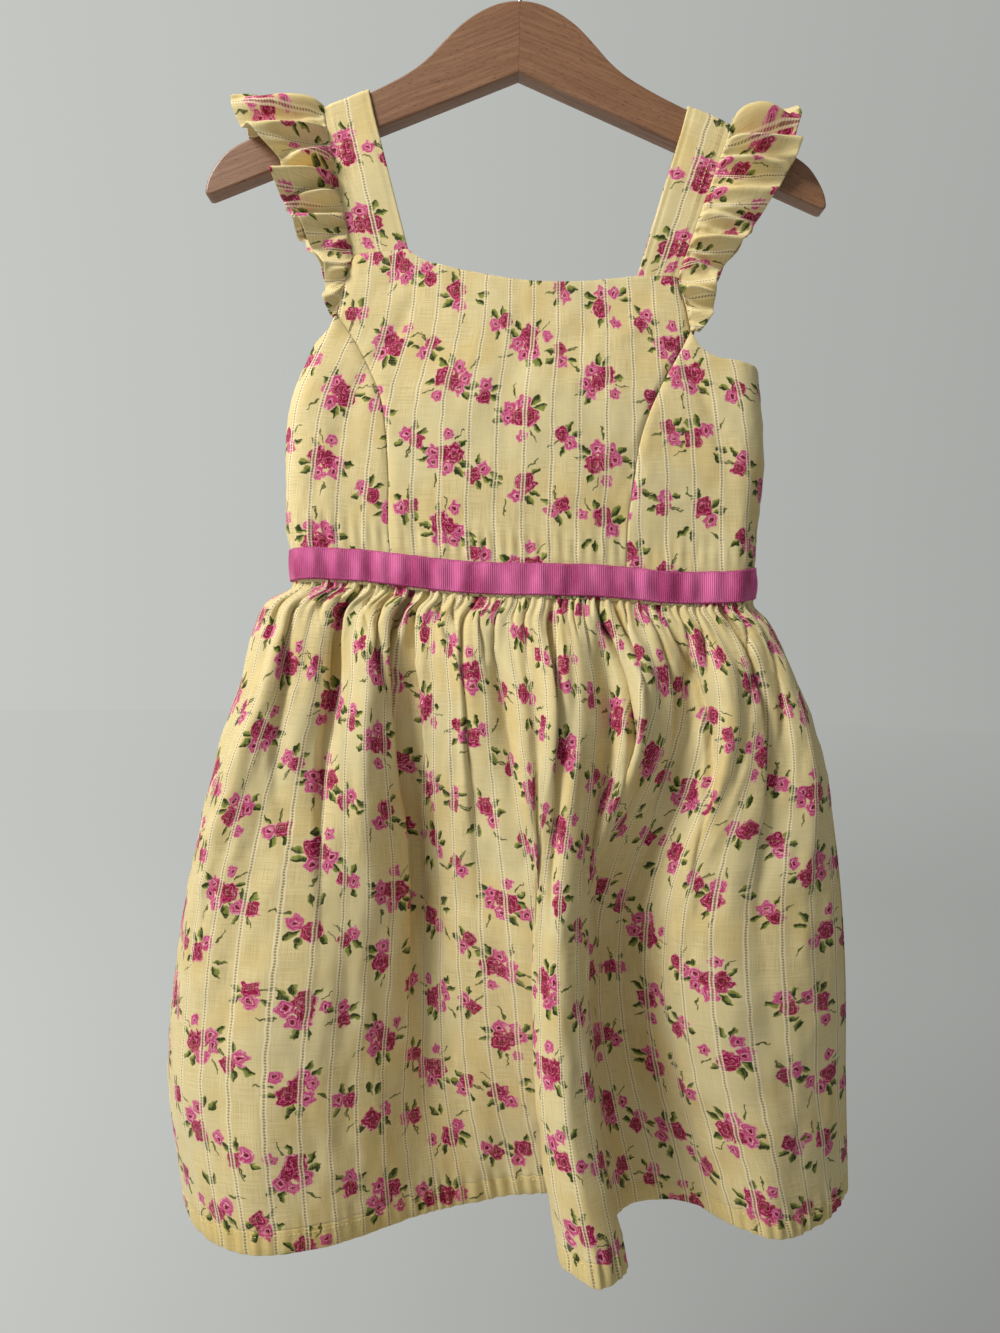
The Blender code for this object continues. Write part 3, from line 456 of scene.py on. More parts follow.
class Num:
    """A number or vector inside a node tree, so that formulas can be written plainly."""

    def __init__(self, tree, socket):
        self.tree, self.socket = tree, socket

    def node(self, kind, values, out=0, **settings):
        made = self.tree.nodes.new(kind)
        for name, value in settings.items():
            setattr(made, name, value)
        for place, value in values.items():
            if isinstance(value, Num):
                self.tree.links.new(value.socket, made.inputs[place])
            else:
                made.inputs[place].default_value = value
        return Num(self.tree, made.outputs[out])

    def math(self, operation, *others, clamp=False):
        values = dict(enumerate((self, *others)))
        return self.node("ShaderNodeMath", values, operation=operation, use_clamp=clamp)

    def vector(self, operation, *others, out=0):
        values = dict(enumerate((self, *others)))
        return self.node("ShaderNodeVectorMath", values, out, operation=operation)

    def __add__(self, other):
        return self.math("ADD", other)

    def __sub__(self, other):
        return self.math("SUBTRACT", other)

    def __rsub__(self, other):
        return self.math("MULTIPLY_ADD", -1.0, other)

    def __mul__(self, other):
        return self.math("MULTIPLY", other)

    def __truediv__(self, other):
        return self.math("DIVIDE", other)

    __radd__ = __add__
    __rmul__ = __mul__

    def abs(self):
        return self.math("ABSOLUTE")

    def floor(self):
        return self.math("FLOOR")

    def fraction(self):
        return self.math("FRACT")

    def least(self, other):
        return self.math("MINIMUM", other)

    def most(self, other):
        return self.math("MAXIMUM", other)

    def step(self, low, high):
        """0 up to low, 1 from high on."""
        values = {"Value": self, "From Min": low, "From Max": high}
        if low > high:
            values.update({"From Min": high, "From Max": low, "To Min": 1.0, "To Max": 0.0})
        return self.node("ShaderNodeMapRange", values)

    def parts(self):
        made = self.node("ShaderNodeSeparateXYZ", {0: self})
        return [Num(self.tree, socket) for socket in made.socket.node.outputs]

    def spots(self, scale, detail=2.0, out=0):
        """Noise in two dimensions."""
        values = {"Vector": self, "Scale": scale, "Detail": detail, "Roughness": 0.5}
        return self.node("ShaderNodeTexNoise", values, out, noise_dimensions="2D")

    def clouds(self, scale, detail, rough=0.5):
        """Noise in three dimensions."""
        values = {"Vector": self, "Scale": scale, "Detail": detail, "Roughness": rough}
        return self.node("ShaderNodeTexNoise", values)

    def ramp(self, *stops):
        made = self.node("ShaderNodeValToRGB", {"Fac": self})
        band = made.socket.node.color_ramp
        while len(band.elements) < len(stops):
            band.elements.new(0.5)
        for element, (position, colour) in zip(band.elements, stops):
            element.position, element.color = position, colour
        return made


def vector(x, y, z=0.0):
    return x.node("ShaderNodeCombineXYZ", {0: x, 1: y, 2: z})


def mix(share, first, second, blend="MIX"):
    made = share.tree.nodes.new("ShaderNodeMix")
    made.data_type, made.blend_type = "RGBA", blend
    for place, value in ((0, share), (6, first), (7, second)):
        if isinstance(value, Num):
            share.tree.links.new(value.socket, made.inputs[place])
        else:
            made.inputs[place].default_value = value
    return Num(share.tree, made.outputs[2])


def mix_vector(share, first, second):
    made = share.tree.nodes.new("ShaderNodeMix")
    made.data_type = "VECTOR"
    for place, value in ((0, share), (4, first), (5, second)):
        share.tree.links.new(value.socket, made.inputs[place])
    return Num(share.tree, made.outputs[1])


def new_material(name, viewport):
    made = bpy.data.materials.new(name)
    made.use_nodes = True
    made.diffuse_color = viewport
    shader = made.node_tree.nodes["Principled BSDF"]
    return made, made.node_tree, shader


def place_from(tree, output="Object"):
    return Num(tree, tree.nodes.new("ShaderNodeTexCoord").outputs[output])


def cloth_place(tree):
    """The cloth's own coordinates, in millimetres."""
    made = tree.nodes.new("ShaderNodeUVMap")
    made.uv_map = "cloth"
    return Num(tree, made.outputs["UV"])


def set_shader(tree, shader, colour, values):
    """The base colour from the nodes, and the values that are the same all over."""
    tree.links.new(colour.socket, shader.inputs["Base Color"])
    for name, value in values.items():
        shader.inputs[name].default_value = value


def bump(tree, shader, height):
    """Relief whose height is given in millimetres."""
    made = tree.nodes.new("ShaderNodeBump")
    made.inputs["Strength"].default_value = 1.0
    made.inputs["Distance"].default_value = MM
    tree.links.new(height.socket, made.inputs["Height"])
    tree.links.new(made.outputs["Normal"], shader.inputs["Normal"])
    return made


# Printed cotton

PLAIN = tone(238, 218, 160)
CREAM = tone(255, 241, 204)
# Painted shade: the dark seen through the ladder stripes' holes
HOLE_SHADE = tone(126, 98, 44)
LEAF_DARK = tone(46, 60, 14)
LEAF_MID = tone(100, 112, 40)
LEAF_LIGHT = tone(158, 164, 76)
STEM = tone(92, 96, 42)
DEEP = tone(122, 4, 40)
MAGENTA = tone(166, 12, 68)
ROSE = tone(196, 38, 100)
PINK = tone(218, 88, 142)
PALE_PINK = tone(238, 148, 182)
BLUSH = tone(248, 196, 206)

Rose = namedtuple("Rose", "x y radius lobes")
Leaf = namedtuple("Leaf", "x y angle length width")
Stem = namedtuple("Stem", "x y angle length rise")
POSY_PINK = table_of(
    Rose, (-5.8, 2.6, 4.3, 5), (5.4, 5.2, 4.0, 5), (0.2, 7.6, 3.6, 4), (10.4, -6.4, 3.3, 5),
)
POSY_DARK = table_of(Rose, (-0.8, -4.6, 5.6, 4), (2.4, 0.6, 4.6, 5))
POSY_LEAVES = table_of(
    Leaf, (-10.4, -2.8, 196, 4.6, 2.2), (-8.4, -7.2, 230, 4.4, 2.1), (9.0, 9.2, 40, 4.6, 2.2),
    (4.4, 11.2, 82, 4.2, 1.9), (2.6, -11.2, 286, 4.0, 1.8),
)
POSY_STEMS = table_of(
    Stem, (-6, 8.5, 132, 8.0, 2.4), (-6.5, 9.0, 158, 5.5, -1.4), (5.5, -8.5, 312, 7.5, -2.0),
)
SPRIG_PINK = table_of(Rose, (-0.8, 3.4, 4.0, 5))
SPRIG_DARK = table_of(Rose, (1.2, -3.0, 4.2, 4))
SPRIG_LEAVES = table_of(
    Leaf, (-6.2, 0.4, 176, 4.3, 2.1), (-4.4, -4.8, 218, 4.0, 1.9), (4.8, 5.6, 48, 3.6, 1.6),
)
SPRIG_STEMS = table_of(Stem, (4.0, -0.6, 350, 7.5, 1.8), (5.0, -0.4, 22, 4.5, -1.2))
PRINT_SCALE = 1.04
LIGHT_THROUGH = 0.17
RUNG_PITCH = 1.62
RIB_PITCH = 1.05
LEAF_SIZE = 0.89
BLOOM = ((0.0, DEEP), (0.15, MAGENTA), (0.35, ROSE), (0.56, PINK), (0.80, PALE_PINK), (1.0, BLUSH))
FOLIAGE = ((0.0, LEAF_DARK), (0.32, LEAF_DARK), (0.62, LEAF_MID), (1.0, LEAF_LIGHT))


def paint(layers):
    """Lays masks with values one over another: the cover of all and the value on top."""
    cover, value = layers[0]
    for mask, shade in layers[1:]:
        value = value + (shade - value) * mask
        cover = cover.most(mask)
    return cover, value


def nearest_rose(place, dark, pink, sparse):
    """How far the nearest rose is, and the place in its radii, with its lobes, plus 10 if dark, as z."""
    best = found = None
    for roses, deep in ((pink, 0), (dark, 1)):
        for number, rose in enumerate(roses):
            centre = (-rose.x / rose.radius, -rose.y / rose.radius, rose.lobes + 10 * deep)
            here = place.vector("MULTIPLY_ADD", (1 / rose.radius,) * 3, centre)
            away = place.vector("DISTANCE", (rose.x, rose.y, 0), out=1) * ((1 - 0.2 * deep) / rose.radius)
            if number:
                away = away + sparse.math("GREATER_THAN", 0.35 + 0.14 * number) * 9.0
            if best is None:
                best, found = away, here
                continue
            found = mix_vector(away.math("LESS_THAN", best), found, here)
            best = best.least(away)
    return best, found


def rose_layer(place, dark, pink, sparse, grain):
    """Roses: scalloped rounds of petals wound about their hearts, pale along their edges."""
    near, found = nearest_rose(place, dark, pink, sparse)
    x, y, kind = found.parts()
    deep = kind.math("GREATER_THAN", 9.0)
    lobes = kind - deep * 10.0
    angle = y.math("ARCTAN2", x)
    size = (x * x + y * y).math("SQRT")
    size = size * ((angle * lobes + kind * 2.3).math("SINE") * 0.10 + 1.0)
    wound = (angle * (1 / (2 * math.pi)) + size * 2.1 + grain * 1.4).fraction()
    rim = size.step(0.76, 0.96)
    heart = size.step(0.30, 0.16)
    lip = wound.step(0.70, 0.86) * wound.step(1.0, 0.94)
    ring = (size - 0.36).abs().step(0.12, 0.04)
    in_dark = wound * 0.30 + lip * 0.42 + rim * (grain * 1.5 + 0.25) - heart * 0.2
    in_pink = wound * 0.22 + lip * 0.18 + rim * 0.26 + ring * 0.26 - heart * 0.75 + 0.38
    cover = size.step(1.05, 0.93) * near.math("LESS_THAN", 2.0)
    return cover, in_pink + (in_dark - in_pink) * deep


def own_axes(place, at, length, width):
    """Coordinates along and across a turned leaf or stem, in its own lengths and widths."""
    a = math.radians(at.angle)
    found = []
    for x, y in ((math.cos(a) / length, math.sin(a) / length), (-math.sin(a) / width, math.cos(a) / width)):
        found.append(place.vector("DOT_PRODUCT", (x, y, 0), out=1) - (at.x * x + at.y * y))
    return found


def leaf_layer(place, leaf):
    """One leaf, pointed at both ends, darker on one side of its rib."""
    x, y = own_axes(place, leaf, leaf.length * LEAF_SIZE, leaf.width * LEAF_SIZE)
    size = x * x + y.abs()
    return size.step(1.05, 0.92), y.step(-0.12, 0.12) * 0.62 + size * 0.4


def motif(place, dark, pink, leaves, stems, sparse, grain, colour):
    """Paints stems, leaves and roses over a colour, in a motif's own coordinates."""
    drawn = None
    for stem in stems:
        x, y = own_axes(place, stem, stem.length, 1)
        off = (y - x * x * stem.rise).abs().step(0.5, 0.26)
        line = off * (x - 0.5).abs().math("LESS_THAN", 0.5)
        drawn = line if drawn is None else drawn.most(line)
    colour = mix(drawn, colour, STEM)
    cover, shade = paint([leaf_layer(place, leaf) for leaf in leaves])
    colour = mix(cover, colour, shade.ramp(*FOLIAGE))
    cover, shade = rose_layer(place, dark, pink, sparse, grain)
    return mix(cover, colour, shade.ramp(*BLOOM))


REPEAT_WIDTH = 46.0
REPEAT_HEIGHT = 43.0


def repeat(uv, wobble, shift_u, shift_v, seed, jitter):
    """A half drop repeat: the place inside its nearest motif, turned at random, and a random number."""
    u, v, _ = uv.parts()
    x = (u + shift_u) / REPEAT_WIDTH
    i = x.floor()
    y = (v + shift_v) / REPEAT_HEIGHT + (i * 0.5).fraction()
    j = y.floor()
    cell = vector(i, j, seed)
    chance = cell.node("ShaderNodeTexWhiteNoise", {"Vector": cell}, 1, noise_dimensions="3D")
    first, second, third = chance.parts()
    across = (x - i - 0.5) * REPEAT_WIDTH + (first - 0.5) * jitter
    down = (y - j - 0.5) * REPEAT_HEIGHT + (second - 0.5) * jitter
    flip = third.math("GREATER_THAN", 0.5) * 2.0 - 1.0
    place = vector(across * flip * (1 / PRINT_SCALE), down * (1 / PRINT_SCALE)).vector("ADD", wobble)
    turn = {"Vector": place, "Angle": (first + third * 3.0) * (2 * math.pi)}
    return place.node("ShaderNodeVectorRotate", turn, rotation_type="Z_AXIS"), second


def cotton_material(name, stripe_shift=0.0, shift=(0.0, 0.0), double_from=None):
    """Printed lawn with ladder stripes along v; double_from is where a turned hem starts."""
    made, tree, shader = new_material(name, PLAIN)
    uv = cloth_place(tree)
    u, v, _ = uv.parts()
    wobble = uv.spots(0.26, 1.0, 1).vector("SUBTRACT", (0.5, 0.5, 0.5)).vector("MULTIPLY", (3.4, 3.4, 0))

    # Threads: long slubs both ways and a fine plain weave
    warp = vector(u * 3.4, v * 0.07).spots(1.0, 1.0)
    weft = vector(u * 0.07, v * 3.4).spots(1.0, 1.0)
    blotch = uv.spots(0.035, 1.0)
    thread = warp + weft
    plain = (thread * 0.5).ramp((0.36, tone(222, 201, 142)), (0.50, PLAIN), (0.66, tone(246, 230, 182)))
    colour = mix(blotch.step(0.48, 0.68) * 0.5, plain, tone(232, 204, 134))
    faint = uv.spots(0.018, 0.0)
    colour = mix(faint.step(0.5, 0.66) * 0.45, colour, tone(236, 224, 176))

    # Print: posies, then sprigs between them
    grain = uv.spots(0.42, 1.0) - 0.5
    place, chance = repeat(uv, wobble, shift[0], shift[1], 3.0, 9.0)
    colour = motif(place, POSY_DARK, POSY_PINK, POSY_LEAVES, POSY_STEMS, chance, grain, colour)
    place, chance = repeat(uv, wobble, shift[0] + REPEAT_WIDTH / 2, shift[1] + REPEAT_HEIGHT / 4, 8.0, 12.0)
    colour = motif(place, SPRIG_DARK, SPRIG_PINK, SPRIG_LEAVES, SPRIG_STEMS, chance, grain, colour)
    faded = thread.step(1.12, 1.3) * 0.35
    colour = mix(faded, colour, PLAIN)

    # Ladder stripes: two rows of cream thread with small holes between them, painted dark as the shade seen
    # through them
    crinkle = (vector(v * 0.12, u * 0.06).spots(1.0, 0.0) - 0.5) * 0.9
    across = (((u + crinkle) / STRIPE_PITCH + stripe_shift).fraction() - 0.5).abs() * STRIPE_PITCH
    rung = ((v / RUNG_PITCH).fraction() - 0.5).abs() * RUNG_PITCH
    knots = rung.step(0.30, 0.62) * 0.35 + 0.6
    lines = (across - 0.95).abs().step(0.58, 0.24)
    ladder = across.step(1.1, 0.8)
    hole = across.step(0.56, 0.28) * rung.step(0.54, 0.30)
    colour = mix(ladder * 0.22, colour, CREAM)
    colour = mix(lines * knots, colour, CREAM)
    # Painted shade: the holes darkened where the shade behind them shows through
    colour = mix(hole * 0.75, colour, HOLE_SHADE)

    height = thread * 0.05 + lines * 0.05 - hole * 0.12
    weave = (u * 14.0).math("SINE") * (v * 14.0).math("SINE")
    height = height + weave * 0.015
    if double_from is not None:
        double = v.step(double_from - 0.3, double_from + 0.3)
        richer = mix(double, (1.0, 1.0, 1.0, 1.0), tone(254, 250, 234))
        colour = mix(double, colour, richer, "MULTIPLY")
        height = height - (v - double_from).abs().step(0.9, 0.0) * 0.25
    set_shader(tree, shader, colour, {
        "Roughness": 0.88, "Specular IOR Level": 0.25, "Sheen Weight": 0.12, "Sheen Roughness": 0.5,
    })
    relief = bump(tree, shader, height)
    glow = tree.nodes.new("ShaderNodeBsdfTranslucent")
    blend = tree.nodes.new("ShaderNodeMixShader")
    blend.inputs[0].default_value = LIGHT_THROUGH
    tree.links.new(colour.socket, glow.inputs["Color"])
    tree.links.new(relief.outputs["Normal"], glow.inputs["Normal"])
    tree.links.new(shader.outputs[0], blend.inputs[1])
    tree.links.new(glow.outputs[0], blend.inputs[2])
    tree.links.new(blend.outputs[0], tree.nodes["Material Output"].inputs["Surface"])
    return made


def ribbon_material():
    """Grosgrain: fine ribs across the ribbon, darker between them as painted shade, a soft sheen, and paler
    and darker patches along it, painted light and shade of its buckles.
    """
    made, tree, shader = new_material("ribbon grosgrain", tone(222, 104, 160))
    uv = cloth_place(tree)
    u, v, _ = uv.parts()
    ribs = (u * (2 * math.pi / RIB_PITCH)).math("SINE")
    edge = (v - RIBBON_DEPTH / 2).abs().step(RIBBON_DEPTH / 2 - 0.9, RIBBON_DEPTH / 2 - 0.3)
    picot = (u * (2 * math.pi / RIB_PITCH)).math("COSINE") * edge
    # Paler and darker patches along the ribbon: painted light and shade standing for lit and shaded buckles
    buckle_light_and_shade = vector(u * 0.05, v * 0.02).spots(1.0, 3.0)
    threads = vector(u * 0.5, v * 5.0).spots(1.0, 2.0)
    colour = buckle_light_and_shade.ramp((0.38, tone(174, 50, 108)), (0.62, tone(240, 116, 176)))
    # Darker between the ribs: painted shade in their grooves
    colour = mix(ribs.step(-1.0, 0.2) * 0.6 + 0.4, tone(150, 34, 92), colour)
    colour = mix(threads.step(0.5, 0.75) * 0.3, colour, tone(238, 140, 194))
    colour = mix(edge * 0.65, colour, tone(168, 46, 108))
    set_shader(tree, shader, colour, {"Roughness": 0.6, "Sheen Weight": 0.1, "Sheen Roughness": 0.4})
    bump(tree, shader, ribs * 0.10 + threads * 0.05 + picot * 0.08)
    return made


def thread_material(name, light, dark):
    made, tree, shader = new_material(name, light)
    place = place_from(tree)
    twist = place.clouds(2500.0, 2.0)
    colour = mix(twist.step(0.35, 0.65), dark, light)
    set_shader(tree, shader, colour, {"Roughness": 0.7})
    bump(tree, shader, twist * 0.08)
    return made


def beech_material():
    """Beech: grain that runs down each arm and meets at the middle, with short dark flecks."""
    made, tree, shader = new_material("beech", tone(176, 122, 82))
    place = place_from(tree).vector("SCALE")
    place.socket.node.inputs["Scale"].default_value = 1000.0
    x, y, z = place.parts()
    side = x.math("SIGN")
    arm = x.abs()
    slope = math.radians(22)
    run = arm * math.cos(slope) - z * math.sin(slope)
    rise = arm * math.sin(slope) + z * math.cos(slope) + side * 17.0
    rise = rise + place.clouds(0.02, 2.0) * 6.0
    grain = vector(run * 0.02, y * 0.5, rise * 0.55).clouds(1.0, 5.0, 0.6)
    broad = vector(run * 0.006, y * 0.08, rise * 0.11).clouds(1.0, 3.0)
    fleck = vector(run * 0.28, y * 1.2, rise * 1.7).clouds(1.0, 1.0).step(0.635, 0.69)
    darker = (0.30, tone(110, 73, 49)), (0.47, tone(132, 92, 64))
    lighter = (0.60, tone(144, 104, 75)), (0.74, tone(156, 116, 86))
    colour = grain.ramp(*darker, *lighter)
    colour = mix(broad.step(0.35, 0.65) * 0.35, colour, tone(126, 85, 56))
    colour = mix(fleck * 0.65, colour, tone(86, 52, 32))
    joint = arm.step(0.35, 0.1)
    colour = mix(joint * 0.4, colour, tone(74, 46, 28))
    set_shader(tree, shader, colour, {"Roughness": 0.42, "Coat Weight": 0.18, "Coat Roughness": 0.35})
    bump(tree, shader, grain * 0.06 - fleck * 0.05)
    return made


def steel_material():
    """Drawn wire: fine lines along it and a little dulling."""
    made, tree, shader = new_material("steel wire", tone(190, 190, 192))
    place = place_from(tree)
    stain, fine = place.clouds(300.0, 4.0), place.clouds(2200.0, 2.0)
    colour = stain.ramp((0.35, tone(168, 168, 172)), (0.65, tone(214, 214, 216)))
    set_shader(tree, shader, colour, {"Metallic": 1.0})
    roughness = stain.node("ShaderNodeMapRange", {"Value": stain, "To Min": 0.18, "To Max": 0.4})
    tree.links.new(roughness.socket, shader.inputs["Roughness"])
    bump(tree, shader, fine * 0.02)
    return made


# Bodice panels

def patch(top, bottom, first, last, across):
    """Flat points between four edges; first and last hold a point for each row."""
    v = np.linspace(0, 1, len(first))[:, None, None]
    u = np.asarray(across)[None, :, None]
    ruled = (1 - v) * top[None] + v * bottom[None] + (1 - u) * first[:, None] + u * last[:, None]
    upper = (1 - u) * top[0] + u * top[-1]
    lower = (1 - u) * bottom[0] + u * bottom[-1]
    return ruled - (1 - v) * upper - v * lower


def on_ring(points, side):
    return np.array([[ring_share(p.x, p.z, side) * HALF_RING, p.z] for p in points])


def seam_foot(way, side):
    return waist_z(np.asarray(way) / HALF_RING, side) - 1.0


PANEL_ROWS = 76
ARMHOLE_ROWS = 14


def princess_edge(points, side):
    edge = on_ring(points[ARMHOLE_POINT:], side)
    edge[-1, 1] = seam_foot(edge[-1, 0], side)
    return along(rounded(edge), np.linspace(0, 1, PANEL_ROWS + 1))


def centre_edge(points, side):
    armhole = rounded(on_ring(points[: ARMHOLE_POINT + 1], side))
    armhole = along(armhole, np.linspace(0, 1, ARMHOLE_ROWS + 1))
    return np.concatenate([armhole[:-1], princess_edge(points, side)])


def side_seam(top_z, way, side):
    heights = np.linspace(top_z, seam_foot(way, side), PANEL_ROWS + 1)
    return np.stack([np.full(PANEL_ROWS + 1, way), heights], -1)


def panel(tops, counts, first, last, side, lean):
    """A bodice panel as points on the body and its cloth coordinates, leaning off the grain."""
    top = np.concatenate([tops[0]] + [stretch[1:] for stretch in tops[1:]])
    bounds = length_shares(top)
    ends = np.cumsum([len(tops[0])] + [len(stretch) - 1 for stretch in tops[1:]])
    marks = [0.0] + [bounds[end - 1] for end in ends]
    across = np.concatenate(
        [[0.0]] + [np.linspace(a, b, n + 1)[1:] for a, b, n in zip(marks, marks[1:], counts)]
    )
    way = first[-1][0] + across * (last[-1][0] - first[-1][0])
    bottom = np.stack([way, seam_foot(way, side)], -1)
    flat = patch(along(top, across), bottom, first, last, across)
    points = on_body(flat[..., 0] / HALF_RING, flat[..., 1], side)
    a = math.radians(lean)
    middle = flat[0, flat.shape[1] // 2]
    u, v = flat[..., 0] - middle[0], -(flat[..., 1] - middle[1])
    uv = np.stack([u * math.cos(a) + v * math.sin(a) + middle[0], v * math.cos(a) - u * math.sin(a)], -1)
    return points, uv, flat


# Folds worn into the bodice, by way round the ring and height
FRONT_DENTS = table_of(
    Dent, (60, -262, 46, 4.0, 24, -1.3), (48, -300, 60, 5.0, 16, -0.9), (38, -345, 70, 4.5, -6, 0.9),
    (92, -246, 44, 5.0, -58, 0.8), (246, -276, 50, 4.0, -26, -1.3), (262, -318, 60, 5.0, -14, -0.8),
    (214, -250, 40, 5.0, 60, 0.8), (140, -300, 90, 12.0, 8, -1.1), (180, -340, 80, 11.0, -6, 0.9),
    (112, -352, 60, 8.0, 4, 0.7), (165, -262, 56, 12.0, 78, -0.8), (205, -362, 44, 5.0, -12, -0.8),
    (88, -368, 36, 4.0, 10, -0.8), (20, -320, 60, 6.0, 4, -0.9), (282, -345, 60, 6.0, -4, -0.9),
)
BACK_DENTS = table_of(
    Dent, (50, -300, 80, 6.0, 14, -1.0), (100, -270, 60, 10.0, -30, 0.9), (150, -330, 90, 12.0, 4, -1.0),
    (200, -290, 70, 9.0, 20, 0.9), (252, -310, 80, 6.0, -12, -1.0), (120, -365, 40, 5.0, 8, -0.8),
    (225, -365, 44, 5.0, -10, -0.8),
)
WAIST_PUCKERS = 46
PUCKERS_UP = 26
PUCKERS_REACH = 10
RIBBON_REACH = 13
SEAM_SINK = 0.5


def dress_panel(node, made, side, surface, seed):
    """A panel's cloth, with its worn folds, waist puckers, puckered seams and turned upper edge."""
    points, uv, flat = made
    if side < 0:
        uv = np.stack([2 * HALF_RING - uv[..., 0], uv[..., 1]], -1)
    way, z = flat[..., 0], flat[..., 1]
    above = z - waist_z(np.clip(way / HALF_RING, 0, 1), side)
    relief = dents(way, z, FRONT_DENTS if side > 0 else BACK_DENTS)
    relief += crumple(uv[..., 0], uv[..., 1], seed)
    pull = 0.7 + 0.5 * noise(way / 31, way * 0, seed + 4)
    puckers = np.cos(2 * math.pi * WAIST_PUCKERS * way / HALF_RING)
    relief += 0.7 * pull * puckers * bell((above - PUCKERS_UP) / PUCKERS_REACH)
    calm = ease((np.abs(above) - RIBBON_REACH) / RIBBON_REACH)
    cols = np.arange(way.shape[1])
    near = np.minimum(cols, cols[::-1])[None, :]
    seam = 0.5 * noise(z / 7, way * 0, seed + 5) * bell(near / 3.0)
    rise = (relief * calm + seam) * ease(near / 3.0) - SEAM_SINK * bell(near / 1.2)
    points, uv = turned(points + rise[..., None] * normals_of(points, side), uv, side, "top")
    add_sheet(points, uv, side, surface, node)


def top_edge(points, side, pinned=None, way=None):
    """A rounded edge in flat ring places; the pinned end is set at a way of its own."""
    edge = rounded(on_ring(points, side))
    if pinned is not None:
        edge[pinned, 0] = way
    return edge


def make_bodice(surfaces):
    """Three panels in front and two behind, each from its upper edge to the waist between two seams."""
    first_way, last_way = 0.1, HALF_RING - 0.1
    middle = Point(CENTRE_BACK_X, float(read(NECKLINE, "x", "z", CENTRE_BACK_X)))
    middle_way = ring_share(middle.x, middle.z, -1) * HALF_RING
    neck_left = [p for p in NECKLINE[1:] if p.x < CENTRE_BACK_X] + [middle]
    neck_right = [middle] + [p for p in NECKLINE[:-1] if p.x > CENTRE_BACK_X]
    left_seam, right_seam, back_seam = (
        lambda side: side_seam(ARMHOLE_LEFT[-1].z, first_way, side),
        lambda side: side_seam(ARMHOLE_RIGHT[-1].z, last_way, side),
        lambda side: side_seam(middle.z, middle_way, side),
    )
    panels = (
        (
            "bodice_front_centre", 1, 0, 11, 0.0, (14, 72, 14),
            [on_ring(NECKLINE[:2], 1), top_edge(NECKLINE[1:-1], 1), on_ring(NECKLINE[-2:], 1)],
            centre_edge(PRINCESS_LEFT, 1), centre_edge(PRINCESS_RIGHT, 1),
        ),
        (
            "bodice_side_front_left", 1, 1, 21, 4.0, (52,),
            [top_edge(ARMHOLE_LEFT[::-1], 1, 0, first_way)],
            left_seam(1), princess_edge(PRINCESS_LEFT, 1),
        ),
        (
            "bodice_side_front_right", 1, 2, 31, -4.0, (56,),
            [top_edge(ARMHOLE_RIGHT, 1, -1, last_way)],
            princess_edge(PRINCESS_RIGHT, 1), right_seam(1),
        ),
        (
            "bodice_back_left", -1, 1, 41, 0.0, (46, 14, 34),
            [
                top_edge(ARMHOLE_LEFT[::-1] + PRINCESS_LEFT[1::-1], -1, 0, first_way),
                on_ring(NECKLINE[:2], -1),
                top_edge(neck_left, -1),
            ],
            left_seam(-1), back_seam(-1),
        ),
        (
            "bodice_back_right", -1, 2, 51, 0.0, (34, 14, 46),
            [
                top_edge(neck_right, -1),
                on_ring(NECKLINE[-2:], -1),
                top_edge(PRINCESS_RIGHT[:2] + ARMHOLE_RIGHT, -1, -1, last_way),
            ],
            back_seam(-1), right_seam(-1),
        ),
    )
    for node, side, cloth, seed, lean, counts, tops, first, last in panels:
        dress_panel(node, panel(tops, counts, first, last, side, lean), side, surfaces[cloth], seed)


# Straps

def hanger_top(x):
    return np.interp(abs(x), column(HANGER_UPPER, "x"), column(HANGER_UPPER, "z"))


def strap_line(top_x, base):
    """One lengthwise line of a strap, from its front base over the hanger to its back base."""
    peak = float(hanger_top(top_x)) + STRAP_CLEAR + STRAP_WALL / 2
    reach = HANGER_THICK / 2 + STRAP_CLEAR + STRAP_WALL / 2
    points = []
    for side in (1, -1):
        foot_y = on_body(ring_share(base.x, base.z, side), base.z, side)[1]
        rows = []
        for share in np.arange(STRAP_ROWS) / STRAP_ROWS:
            bow = STRAP_BOW * math.sin(math.pi * share)
            x = base.x + share * (top_x - base.x)
            y = (1 - share) * foot_y - side * (share * reach + bow)
            rows.append((x, y, base.z + share * (peak - STRAP_TURN - base.z)))
        rows.append((top_x, -side * reach, peak - 0.5 * STRAP_TURN))
        rows.append((top_x, -side * (reach - 0.4 * STRAP_TURN), peak))
        points.append(rows)
    return np.array(points[0] + [(top_x, 0.0, peak)] + points[1][::-1])


STRAP_STITCH = 4.6


